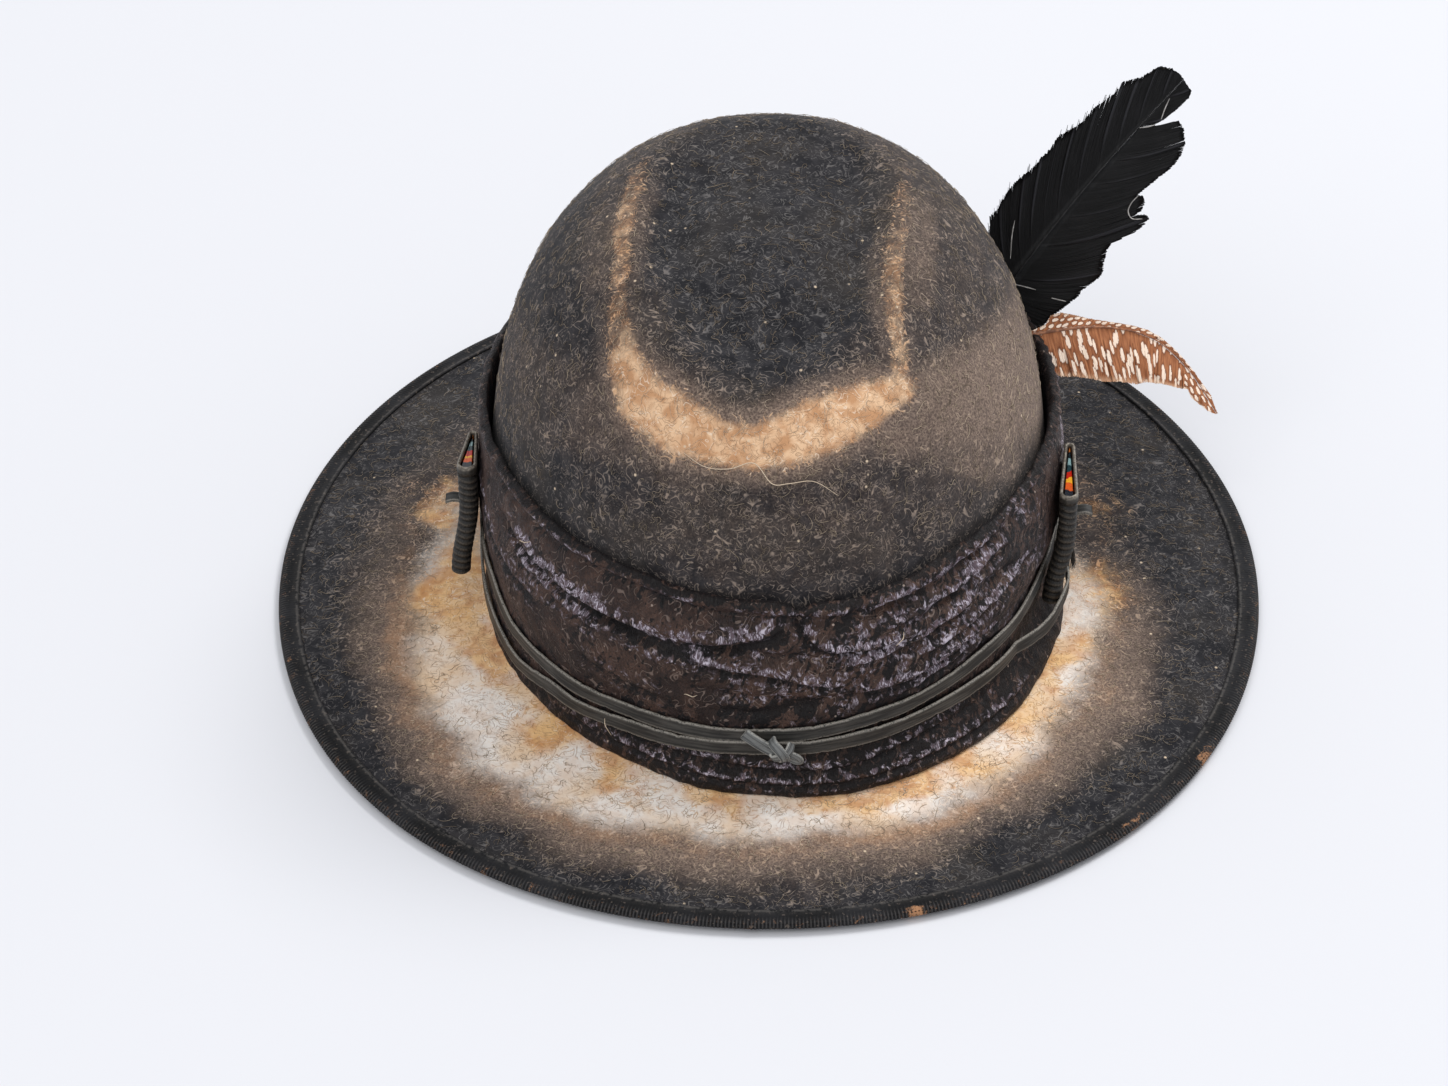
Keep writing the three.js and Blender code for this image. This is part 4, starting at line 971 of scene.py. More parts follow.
MM_PER_DEGREE = 1.65
FOLDS = [
    # points as degrees round and height, then depth, width, ridge above it, bruise (dark crush and painted
    # shade in the groove) and painted highlight
    ([(-158, 63.8), (-148, 60.6), (-136, 58.6), (-121, 56.8), (-113, 54.8), (-107, 55), (-102, 56.1),
      (-96, 58.8), (-91, 60.6), (-87, 63.3), (-84.5, 66)], 1.5, 1.5, 0.9, 1.0, 0.86),
    ([(-109, 54.4), (-100, 51.3), (-91, 49.6), (-84, 46.6), (-74, 42.8)], 1.5, 1.0, 1.0, 0.6, 0.9),
    ([(-101, 37), (-93, 36.6), (-86, 38.3), (-79, 39.6)], 1.3, 2.0, 0.5, 1.0, 0.5),
    ([(-84, 71), (-84, 64.4), (-81, 58.3), (-76, 55.6), (-68, 54.8), (-59, 55.4)], 1.5, 1.0, 0.8, 0.8, 0.9),
    ([(-80, 50.6), (-74, 50.1), (-67, 51.5), (-60, 53.1), (-52, 55.3), (-44, 58)], 1.3, 1.1, 0.9, 0.5, 1.0),
    ([(-77, 41), (-71, 40), (-65, 39.4), (-58, 41.2), (-52, 43.3), (-43, 44.1)], 1.3, 1.1, 0.8, 0.4, 0.9),
    ([(-73, 63), (-68, 66.3), (-63, 66.3), (-56, 67.7), (-49, 69.3), (-41, 71.9)], 1.2, 1.0, 0.7, 0.5, 0.9),
    ([(-66, 36.4), (-61, 36.4), (-55, 38.6), (-49, 40.4), (-38, 42)], 1.0, 1.0, 0.6, 0.3, 0.8),
    ([(-71, 59.5), (-62, 60), (-54, 61.5), (-46, 64), (-36, 66)], 1.2, 1.1, 0.8, 0.5, 1.0),
    ([(-64, 46), (-54, 47.8), (-46, 50), (-37, 52.5), (-26, 54)], 1.0, 1.0, 0.7, 0.3, 0.9),
    ([(-150, 14.6), (-129, 18.4), (-110, 18.0), (-99, 17.2), (-87, 15.8), (-76, 15.8), (-60, 18.2),
      (-38, 18.8)], 1.1, 0.8, 0.5, 0.7, 0.7),
    ([(-140, 13.0), (-114, 13.2), (-91, 11.9), (-72, 12), (-50, 12.4), (-25, 12.5)], 0.9, 0.7, 0.5, 0.6, 0.8),
    ([(-178, 57), (-170, 55), (-160, 50), (-148, 47), (-136, 47)], 0.9, 1.3, 0.4, 0.9, 0.6),
    ([(-152, 55.5), (-141, 54.6), (-131, 52.4), (-121, 51)], 0.7, 1.0, 0.5, 0.2, 0.9),
    ([(-130, 41), (-118, 37.5), (-106, 36)], 0.6, 1.3, 0.3, 0.5, 0.3),
    ([(-12, 62), (4, 58), (26, 57), (50, 60)], 1.2, 1.3, 0.7, 0.5, 0.7),
    ([(-6, 47), (14, 44), (40, 46), (66, 50)], 1.1, 1.2, 0.7, 0.4, 0.6),
    ([(30, 67), (56, 65), (84, 68)], 0.9, 1.1, 0.5, 0.3, 0.6),
    ([(88, 70), (92, 60), (90, 50), (93, 40)], 1.4, 1.0, 0.6, 0.6, 0.7),
    ([(96, 62), (112, 60), (134, 63), (158, 61)], 1.2, 1.3, 0.7, 0.5, 0.7),
    ([(94, 47), (118, 50), (144, 46), (168, 49)], 1.2, 1.3, 0.7, 0.4, 0.6),
    ([(0, 18), (40, 16), (85, 17), (130, 16), (172, 17)], 0.9, 0.8, 0.4, 0.5, 0.6),
]
BAND_STATIONS, BAND_ROWS = 620, 112


def band_outside(angle, z, nominal):
    """The velvet's outside: the plain form, then every fold as a groove with a ridge above and below it, fine
    crush wrinkles, a pleated strip under the laces and a rolled hem. It is kept in under the laces.

    Also gives how bruised the pile is, darkest in the grooves, where the dark also stands for painted shade,
    and its painted highlight, brightest on the ridges.
    """
    degrees = signed_degrees(angle)
    u = degrees * MM_PER_DEGREE
    proud = velvet_proud(angle, nominal)
    bruise_and_shade, painted_shine = np.zeros(z.shape), np.zeros(z.shape)
    for line, depth, width, ridge, dark, bright in FOLDS:
        path = smooth_line(np.array(line) * (MM_PER_DEGREE, 1), 4 * len(line))
        distance, side, along = line_distance(u, z, path)
        ends = ease(0, 0.15, along) * ease(0, 0.15, 1 - along)
        above = bell(distance - 1.9 * width, 1.3 * width) * (side > 0)
        below = bell(distance - 2.2 * width, 1.2 * width) * (side < 0)
        proud = proud + ends * (ridge * above + 0.35 * ridge * below - depth * bell(distance, width))
        # dark crush and painted shade along each fold's groove
        bruise_and_shade = np.maximum(bruise_and_shade, dark * ends * bell(distance, 1.9 * width))
        # painted highlight on the ridge beside each groove, stronger above it
        gleam = np.maximum((side > 0) * bell(distance - 2.6 * width, 2 * width), 0.6 * below)
        painted_shine = np.maximum(painted_shine, bright * ends * gleam)
    gathers = ease(-92, -78, degrees) * (1 - ease(-30, -16, degrees)) * ease(30, 38, z)
    p = crown_point(angle, z, 6.0)
    crush = 0.16 * lumps(p, 9, 21) + 0.09 * lumps(p, 4.2, 22)
    crush = crush + 0.35 * gathers * lumps(p * (1, 1, 1.6), 11, 23)
    strip = 1 - ease(0, 3, z - around(LACE_LINE, LOWER, angle))
    pleats = 0.22 * strip * np.sin(u * 0.8 + 0.5 * z + 3.5 * lumps(p, 18, 24)) * ease(9.5, 13, z)
    under_hem = around(BAND_FORM, 5, angle) - z
    roll = 0.95 * bell(under_hem - 1.9, 1.5) - 1.1 * bell(under_hem - 4.9, 1.3)
    right_side = ease(-80, -62, degrees) * (1 - ease(10, 40, degrees))
    ribs = np.sin(u * 1.3 - 1.2 * under_hem + 2.5 * lumps(p, 20, 25))
    ribbing = 0.34 * bell(under_hem - 2.0, 2.4) * ribs * (0.15 + 0.85 * right_side)
    proud = proud + crush + pleats + roll + ribbing
    # painted highlights on the gathers, along the hem roll and on the pleated strip
    for bright in (0.55 * gathers * (0.5 + 0.5 * np.clip(lumps(p, 13, 26), -1, 1)),
                   (0.4 + 0.3 * lumps(p, 14, 28)) * bell(under_hem - 2.4, 1.3),
                   0.32 * strip * (0.15 + 0.85 * np.clip(lumps(p, 9, 27), 0, 1))):
        painted_shine = np.maximum(painted_shine, bright)
    # darker over the pleated strip and the gathers, and painted shade in the groove under the hem roll and
    # along the hem's top edge
    for dark in (0.74 * strip, 0.42 * gathers, 0.5 * bell(under_hem - 4.6, 1.2),
                 0.85 * bell(under_hem - 0.3, 1.5)):
        bruise_and_shade = np.maximum(bruise_and_shade, dark)
    for which in (UPPER, LOWER):
        inside = lace_proud(angle, which) - 0.18
        off_lace = z - around(LACE_LINE, which, angle)
        covered = 1 - ease(LACE_WIDTH * 0.5, LACE_WIDTH * 0.9, np.abs(off_lace))
        proud = np.where(covered > 0, np.minimum(proud, inside + (1 - covered) * 3), proud)
        # painted shade beside and under each lace
        bruise_and_shade = np.maximum(bruise_and_shade, 0.9 * bell(off_lace, 3.0))
    # painted shade where the velvet sinks below its plain form
    fold_dip = proud - velvet_proud(angle, nominal, creased=False)
    bruise_and_shade = np.maximum(bruise_and_shade, 0.55 * ease(-1.2, -3.2, fold_dip))
    return proud, bruise_and_shade, painted_shine


def build_band():
    """The velvet wrap as one padded solid: outside from hem to foot, then the foot's turn and the inside.

    Above an even height the rows of the solid band's form are spread out so that they end at the hem.
    """
    angle = stops(BAND_STATIONS)[:, None]
    hem = around(BAND_FORM, 5, angle)
    notch = 1.6 * bell((np.degrees(angle) - 276.0) * MM_PER_DEGREE, 2.6)
    hem_line = hem + 0.15 * np.sin(angle * 31) - notch
    v = np.linspace(0, 1, BAND_ROWS)[None]
    z = hem_line - 0.4 + (BAND_FOOT - hem_line + 0.4) * v
    top = hem - HEM_RISE
    spread = (np.minimum(z, top) - EVEN_TO) * (TOP_ROW - EVEN_TO) / (top - EVEN_TO)
    nominal = np.where(z > EVEN_TO, EVEN_TO + spread, z)
    proud, bruise_and_shade, painted_shine = band_outside(angle, z, nominal)
    over = np.clip((z - top) / HEM_RISE, 0, 1)
    proud = proud - over**2
    z = np.maximum(z, fillet_height(proud) + 0.6)
    outside = crown_point(angle, z, proud)
    foot_proud = proud[:, -1:]
    inside = [(fillet_height(p) + lift, p) for p, lift in (
        (foot_proud - 0.35, 0.28), (foot_proud - 0.9, 0.4), (foot_proud * 0.55 + 0.9, 0.5), (1.9, 0.8))]
    inside += [(height, 0.45) for height in (13.8, 24, 34, 46, 56)]
    inside += [(top - 4, 1.2), (top - 0.6, 1.9), (hem_line + 0.1, np.maximum(proud[:, :1] - 1.1, 2.2))]
    grid = np.concatenate([outside, *(crown_point(angle, height, off) for height, off in inside)], 1)
    quads, corners = grid_faces(BAND_STATIONS, grid.shape[1], wrap_u=True, wrap_v=True)
    rest = grid.shape[1] - BAND_ROWS
    around_cm = np.arange(BAND_STATIONS + 1) * 36 / BAND_STATIONS * MM_PER_DEGREE
    height_cm = np.linspace(7.7, 0.9, grid.shape[1] + 1)
    fields = {"bruise_and_shade": np.pad(bruise_and_shade, ((0, 0), (0, rest)), constant_values=0.8),
              "painted_shine": np.pad(painted_shine, ((0, 0), (0, rest)), constant_values=0.1)}
    band = make_piece("velvet_wrap", grid, [quads], crushed_velvet, ["hat_band"],
                      uv=grid_uv(corners, around_cm, height_cm), fields=fields)


build_band()


LACE_STATIONS, LACE_NICKS = 1100, 90


def build_lace(name, which, node, seed):
    """A flat lace wound once round: a strap's section carried along the lace's height and stand-off. Its
    edges are nicked by narrow dips at random places, and it leans a little in and out."""
    angle = stops(LACE_STATIONS)
    draw = np.random.default_rng(seed)
    u = np.degrees(angle) * MM_PER_DEGREE
    height = around(LACE_LINE, which, angle) + 0.16 * np.sin(angle * 9 + seed) + 0.1 * np.sin(angle * 23)
    proud = lace_proud(angle, which)
    across, outward = np.array(STRAP).T[:, None]
    nick = np.zeros((LACE_STATIONS, 2))
    for edge in (0, 1):
        for at in draw.uniform(0, u[-1], LACE_NICKS):
            nick[:, edge] += draw.uniform(0.05, 0.3) * bell(u - at, draw.uniform(0.4, 1.4))
    half_wide = (LACE_SPREAD / 2 + 0.12 * np.sin(angle * 17 + seed))[:, None]
    reach = np.where(across > 0, half_wide - nick[:, :1], half_wide - nick[:, 1:])
    lean = 0.05 * np.sin(angle * 13 + seed)[:, None] * across
    out = LACE_OUT[which] + LACE_BODY / 2 * (1 + outward * 0.85) + lean
    points = crown_point(angle[:, None], height[:, None], proud[:, None] + np.clip(out, 0.02, None))
    points[..., 2] = height[:, None] + reach * across
    quads, corners = grid_faces(LACE_STATIONS, len(STRAP), wrap_u=True, wrap_v=True)
    round_cm = np.arange(LACE_STATIONS + 1) * TAU / LACE_STATIONS * 9.5
    uv = grid_uv(corners, round_cm, np.linspace(0, 1, len(STRAP) + 1))
    edge = ease(0.7, 0.95, np.abs(across)) + 0 * reach
    make_piece(name, points, [quads], grey_lace, [node], uv=uv, fields={"edge": edge})


build_lace("flat_lace_upper", UPPER, "lace_upper", 3)
build_lace("flat_lace_lower", LOWER, "lace_lower", 4)


def straps(rows, steps=26):
    """Flat straps through points: each row gives the points, the way each strap faces, and half its width and
    thickness. Gives the points, faces, uv and edge values of all of them together."""
    lines, facings, half_wide, half_thick = zip(*rows)
    paths = np.stack([smooth_line(line, steps) for line in lines])
    face = np.stack([unit(smooth_line(np.broadcast_to(facing, (len(line), 3)), steps))
                     for line, facing in zip(lines, facings)])
    points, faces = bundle(paths, face, np.array(half_wide)[:, None], np.array(half_thick)[:, None], STRAP)
    length = np.cumsum(np.linalg.norm(np.diff(paths, axis=1, prepend=paths[:, :1]), axis=-1), 1) / 10
    uv = np.stack(np.broadcast_arrays(length[..., None], np.linspace(0, 1, len(STRAP))), -1).reshape(-1, 2)
    edge = np.broadcast_to(ease(0.8, 1.0, np.abs(np.array(STRAP)[:, 0])), points.shape[:3])
    return points, faces, uv, edge


KNOT_STRAPS = [
    # points, the way the strap faces at all of them or at each, half its width and half its thickness
    ([(-7, -116.8, 31.8), (-4.4, -117.5, 30), (-1.2, -117.9, 27.8), (2.4, -117.9, 25.4)],
     (0, -1, 0), 1.9, 0.55),
    ([(1, -117, 29.6), (1.6, -119, 29.4), (3.4, -119.9, 27.6), (4.8, -119.7, 25), (4.8, -118.4, 22.9),
      (3.9, -117, 22.4)],
     [(-1, -0.3, 1), (-0.7, -1, 0.8), (0, -1, 0.3), (0.2, -1, -0.2), (0.2, -0.8, -0.9), (0, 0, -1)], 1.5, 0.5),
    ([(0.4, -117.2, 24.6), (1.6, -118.9, 24.2), (4, -119.6, 25.4), (6, -119.4, 27.4), (6.8, -117.8, 28.9)],
     [(-1, -0.6, -0.6), (-0.4, -1, -0.5), (0, -1, 0), (0.5, -1, 0.3), (1, -0.4, 0.6)], 1.3, 0.5),
    ([(4.2, -118.4, 26.2), (6.6, -118.9, 25.7), (8.8, -118.7, 24.2), (9.4, -118.2, 22.6), (8.2, -117.6, 21.9),
      (6.4, -117.4, 22.7)], (0, -1, 0), 0.95, 0.5),
]


def build_knot():
    """The knot: a strip over both laces, two turns wrapped round it, and a folded tip."""
    points, faces, uv, edge = straps(KNOT_STRAPS)
    make_piece("knot_straps", points, faces, knot_lace, ["lace_knot"], uv, {"edge": edge})


build_knot()

ORNAMENTS = {
    # near end x, y, radius; far end x, y, radius; foot's share of the length, step height, foot's shift to -X
    "left": ((-91.6, -27.6, 2.9), (-90.6, -12, 1.4), 0.2, 27, 3.4),
    "right": ((90.4, -42.8, 2.7), (92, -18.6, 1.5), 0.1, 39, 3.8),
}
WOUND_FOOT, WOUND_TOP, WINDING_TURNS, WINDING_ROWS = 24.0, 61.2, 16, 161
# the rim's section and the chips' domed body: distance outside the drop shape, and height
RIM_PROFILE = [(0.1, 61.5), (0.25, 62.7), (0.12, 64.4), (-0.15, 64.9), (-0.5, 65), (-0.78, 64.75), (-0.9, 64.2),
               (-0.9, 61.5)]
CHIP_PROFILE = [(-1.2, 61.5), (-1.2, 63.2), (-1.35, 63.8), (-1.5, 64)]


def drop_outline(near, far, margin, length):
    """A drop shape round two circles: two arcs joined by straight sides.

    margin and length are arrays, one value for each ring: how far outside the circles it runs, and a share of
    the way to the far circle. Gives x and y of shape (rings, points).
    """
    margin, length = margin[:, None], length[:, None]
    heading = np.arctan2(far[1] - near[1], far[0] - near[0])
    span = np.hypot(far[0] - near[0], far[1] - near[1]) * length
    far_radius = near[2] + (far[2] - near[2]) * length
    tilt = np.arccos((near[2] - far_radius) / span)
    sweep = np.linspace(0, 1, 17)[None]
    near_turn = heading + tilt + (TAU - 2 * tilt) * sweep
    far_turn = heading - tilt + 2 * tilt * sweep
    bridge = np.linspace(0, 1, 9)[None, 1:-1]
    outline = []
    for middle, swing in ((near[0], np.cos), (near[1], np.sin)):
        a = middle + (near[2] + margin) * swing(near_turn)
        b = middle + span * swing(heading) + (far_radius + margin) * swing(far_turn)
        there, back = a[:, -1:], b[:, -1:]
        outline.append(np.concatenate([a, there + (b[:, :1] - there) * bridge, b,
                                       back + (a[:, :1] - back) * bridge], 1))
    return outline


def closed_rings(x, y, z):
    """Rings of points joined into one body with a face at each end. Shapes are (rings, points)."""
    grid = np.stack(np.broadcast_arrays(x, y, z), -1).astype(float)
    rings, n = grid.shape[:2]
    quads, corners = grid_faces(rings, n, wrap_v=True)
    return grid, [quads, np.arange(n)[None, ::-1], ((rings - 1) * n + np.arange(n))[None]], corners


def build_ornament(side):
    """A side ornament: a column wound with lace, a rounded rim and chips inside it.

    The winding bulges by the 0.55 power of the sine of the height's turns plus the way round the column, so
    that it climbs like a screw. The rim is a ring of rounded section. The chips rise to a flat faceted top.
    """
    near, far, foot_share, step_from, foot_shift = ORNAMENTS[side]
    up = np.linspace(0, 1, WINDING_ROWS)
    z = WOUND_FOOT + (WOUND_TOP - WOUND_FOOT) * up
    grown = ease(step_from, step_from + 14, z)
    length = foot_share + (1 - foot_share) * grown
    x, y = drop_outline(near, far, 0 * up, length)
    turn = np.arange(x.shape[1])[None] / x.shape[1]
    phase = WINDING_TURNS * up[:, None] + turn + 0.05 * np.sin(9 * up[:, None] + 4 * turn * TAU)
    ends = (ease(0.985, 1.0, up) + 1 - ease(0.0, 0.02, up))[:, None]
    bulge = 0.55 * (np.abs(np.sin(np.pi * phase)) ** 0.55 - 0.8) - 0.5 * ends
    wide_x, wide_y = drop_outline(near, far, 1 + 0 * up, length)
    x, y = x + (wide_x - x) * bulge, y + (wide_y - y) * bulge
    x = x - (foot_shift * (1 - ease(WOUND_FOOT, 50, z)))[:, None]
    grid, faces, corners = closed_rings(x, y, z[:, None])
    uv = grid_uv(corners, up * 40, np.arange(x.shape[1] + 1) / 6)
    # the edge value lays the pale streak on the windings' crests as a painted highlight
    make_piece("wound_column_" + side, grid, faces, dark_lace, ["plaque_" + side], uv,
               {"edge": 0.8 * np.abs(np.sin(np.pi * phase)) ** 6})
    margin, height = np.array(RIM_PROFILE).T
    x, y = drop_outline(near, far, margin, np.ones(margin.size))
    ring = np.stack(np.broadcast_arrays(x, y, height[:, None]), -1)
    quads, _ = grid_faces(*x.shape, wrap_u=True, wrap_v=True)
    make_piece("rounded_rim_" + side, ring, [quads], dull_rim, ["plaque_rim_" + side])
    margin, height = np.array(CHIP_PROFILE).T
    x, y = drop_outline(near, far, margin, np.ones(margin.size))
    grid, faces, _ = closed_rings(x, y, height[:, None])
    axis = np.array([far[0] - near[0], far[1] - near[1]])
    chip = ((grid[..., :2] - near[:2]) @ axis / (axis @ axis) + 0.12) / 1.24
    make_piece("set_chips_" + side, grid, faces, polished_chips, ["inlay_" + side],
               fields={"chip": chip}, smooth=False)


for ornament_side in ORNAMENTS:
    build_ornament(ornament_side)


def build_lace_end(name, node, place, heading):
    """A short strap end that stands out: two layers of strap, the lower one a little narrower."""
    out = np.array([np.cos(heading), np.sin(heading), 0])
    rises = ((0.1, 0), (1.6, 0.35), (3.2, 0.4), (4.9, -0.3))
    line = [place + out * d + np.array([0, 0, rise]) for d, rise in rises]
    layers = [([p + (0, 0, off) for p in line], (0, 0, 1), half_wide, half_thick)
              for off, half_wide, half_thick in ((0.36, 2.1, 0.32), (-0.36, 1.9, 0.3))]
    points, faces, uv, edge = straps(layers, 12)
    make_piece(name, points, faces, grey_lace, [node], uv, {"edge": edge})


build_lace_end("strap_end_left", "lace_end_left", (-94.3, -20, 46), np.pi)
build_lace_end("strap_end_right", "lace_end_right", (93.7, -32, 50), 0.0)


def build_tassel():
    """A bound lace end: a wound head, and fine strands under it.

    A strand's distance from the middle grows as the 1.4 power of the way down.
    """
    low, high = (np.array(corner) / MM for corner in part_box("tassel_right"))
    middle = (low + high) / 2
    draw = np.random.default_rng(31)
    count = 46
    t = np.linspace(0, 1, 9)[None]
    turn = draw.uniform(0, TAU, (count, 1))
    spread = draw.uniform(0.2, 1.9, (count, 1))
    x = middle[0] + np.cos(turn) * (0.35 + spread * t**1.4) + 0.12 * np.sin(9 * t + turn * 5)
    y = middle[1] + np.sin(turn) * (0.35 + spread * t**1.4)
    z = high[2] - 1.5 - (high[2] - 1.5 - low[2] - draw.uniform(0, 2.2, (count, 1))) * t
    outward = np.stack([np.cos(turn), np.sin(turn), 0 * turn], -1)
    wide = 0.34 * (1 - 0.5 * t**2)
    points, faces = bundle(np.stack([x, y, z], -1), outward, wide, wide * 0.6, DIAMOND)
    up_share = np.linspace(0, 1, 29)[:, None]
    ring = stops(14)[None]
    radius = 0.9 + 0.14 * np.abs(np.sin(up_share * np.pi * 7 + ring / 2)) - 0.5 * (2 * up_share - 1) ** 8
    head, head_faces, _ = closed_rings(middle[0] + radius * np.cos(ring), middle[1] + radius * np.sin(ring),
                                       high[2] - 5.4 * up_share)
    strand_points = points.reshape(-1, 3)
    every = np.concatenate([strand_points, head.reshape(-1, 3)])
    walls, *ends = [face + len(strand_points) for face in head_faces]
    make_piece("frayed_tassel", every, [np.concatenate([faces[0], walls]), faces[1], *ends], dark_lace,
               ["tassel_right"], every[:, 1:] / 3, {"edge": np.full(len(every), 0.1)})


build_tassel()

FEATHERS = {
    # root: share of the way round the crown, and height. quill: along the feather's axis and across it, as the
    # outline. slopes: places along the quill, and the degrees at which barbs leave it there. bend: the share
    # that a barb's angle falls to, and how fast. hairs: barbs that reach past the outline. locks: where a lock
    # of barbs ends along the quill and lies under the next one. 1 is the vane above the quill and -1 below it.
    "black": dict(
        root=(0.083, 77.6), along=(0.608, 0.051, 0.792), face=(-0.281, -0.919, 0.276), length=92.4, cup=2.6,
        radius=0.45, step=0.85, seed=51, bend=(0.52, 14), barbs=330, hairs={1: 46, -1: 0},
        quill=[(-3, -0.3), (0, 0), (23, 2.0), (46, 3.2), (69, 3.7), (92.4, 3.4)],
        slopes={1: [(0, 88), (5, 60), (14, 44), (40, 36), (92, 24)],
                -1: [(0, 128), (5, 76), (14, 55), (40, 49), (70, 46), (76, 30), (92, 24)]},
        locks={1: [6, 12, 17.5, 24, 31, 41, 52, 61, 71, 82], -1: [8, 21, 33, 47, 57, 73, 84]},
        outline=[(-2.5, 0.6), (0, 5), (3, 10.5), (8, 14.5), (14, 16.7), (16.6, 19.4), (21.1, 19),
                 (24.4, 20), (29.5, 20.8), (34.6, 20.2), (37.3, 19.7), (40.4, 19.6), (47.7, 19.6),
                 (51.9, 20.3), (58.8, 18), (62.6, 17.7), (66.1, 18), (75.1, 16.1), (78.6, 16.9),
                 (84.1, 13.5), (88.4, 12.4), (91.1, 11.3), (93, 8.1), (93.3, 5.6), (92.8, 3.4),
                 (91.8, -0.8), (89.7, -1.7), (84.4, -1.4), (79.2, -0.5), (76.2, 0.4), (74.2, 1.7),
                 (72.8, 2.9), (77, -0.9), (82, -4.2), (81, -7), (78.1, -10.1), (74, -11.9), (69.4, -12.5),
                 (63.4, -11.5), (56.5, -10.5), (55, -10.4), (56.1, -11.6), (54.4, -13.7), (51.7, -14.7),
                 (49.4, -13.9), (52, -16.6), (51.4, -17.8), (48.4, -18.3), (43.8, -17.4), (38, -14.7),
                 (35.4, -14.9), (31.2, -16.8), (28.6, -18.6), (25.9, -19.1), (18.8, -17.9), (17.4, -18.4),
                 (9.7, -17.3), (5, -16.3), (0.2, -16.9), (-3.2, -17.2), (-5.5, -14.6), (-5.5, -9), (-4, -4),
                 (-2.5, -0.8)]),
    "spotted": dict(
        root=(0.049, 77.8), along=(0.859, 0.111, -0.5), face=(0.25, -0.55, 0.8), length=72.4, cup=1.4,
        radius=0.6, step=0.5, seed=52, bend=(0.84, 11), barbs=280, hairs={1: 0, -1: 0},
        quill=[(-3, -4.2), (0, -2.2), (5.2, 0.9), (11.9, 4.6), (17.6, 7.6), (23.4, 10.2), (30.6, 12.6),
               (37.9, 14.2), (44.2, 14.6), (48.1, 14.1), (53.8, 12.2), (59.4, 9.4), (63.9, 6.4),
               (68.5, 2.4), (72.4, -1)],
        slopes={1: [(0, 60), (10, 42), (73, 26)],
                -1: [(0, 102), (4, 98), (20, 92), (45, 78), (64, 50), (73, 26)]},
        locks={1: [20, 44], -1: [12, 26, 37, 48, 58, 66]},
        outline=[(-2.5, -3.2), (2, 0.6), (6.3, 4.4), (7.4, 8), (10.8, 10.4), (15.6, 11.5), (23, 12.6),
                 (31.5, 14.8), (37.6, 16.2), (42.6, 16.8), (48, 16), (53.5, 14), (57.7, 12), (62.2, 9.2),
                 (66.6, 6), (69.4, 4), (73.2, -1.4), (69.2, -1.8), (65.8, -0.6), (62.4, 0.5), (60.7, 2.6),
                 (57, 1.9), (50.7, 0.9), (45.8, -0.4), (42.4, -2.4), (36.3, -3.8), (31.6, -5.7), (24.9, -7),
                 (18.4, -9), (13.7, -10.9), (10.6, -10.6), (9, -9.1), (5.7, -6.6), (2, -5.6),
                 (-2.5, -5.4)]),
}


def feather_frame(kind):
    """The feather's own directions: along the quill, out of its face, and across it, and its root."""
    ahead = unit(np.array(kind["along"]))
    face = np.array(kind["face"])
    front = unit(face - (face @ ahead) * ahead)
    turn, z = kind["root"]
    return crown_point(TAU * turn, z, 1.1), ahead, front, np.cross(front, ahead)


def quill_across(kind, along):
    """How far the bowed quill lies across the feather's axis: a smooth line through the kind's rows."""
    line = smooth_line(kind["quill"], 300)
    return np.interp(along, line[:, 0], line[:, 1])


def feather_point(kind, along, across, depth=0.0):
    """A place on the feather: root + along * ahead + across * sideways, lower by the cup and raised by depth.

    The cup drops the vane as the 1.75 power of the distance from the quill. Below the root the quill goes
    straight down.
    """
    root, ahead, front, sideways = feather_frame(kind)
    cup = kind["cup"] * (np.abs(across - quill_across(kind, along)) / 20) ** 1.75
    below = np.minimum(along, 0)[..., None] * (np.array([0, 0, 1.0]) - ahead)
    on_axis = root + along[..., None] * ahead + below
    return on_axis + across[..., None] * sideways + (depth - cup)[..., None] * front


def inside_outline(u, v, outline):
    """Whether places lie in a closed outline: a line from each one crosses an odd number of its sides."""
    outline = np.array(outline, float)
    inside = np.zeros(u.shape, bool)
    for a, b in zip(outline, np.roll(outline, -1, 0)):
        if a[1] != b[1]:
            crosses = (a[1] > v) != (b[1] > v)
            inside ^= crosses & (u < a[0] + (v - a[1]) / (b[1] - a[1]) * (b[0] - a[0]))
    return inside


BARB_STEPS, WALK_STEP, WALK_STEPS = 12, 0.25, 200
STRIP_SHARE, BARB_THICKNESS, HAIR_HALF_WIDTH = 0.66, 0.1, 0.09


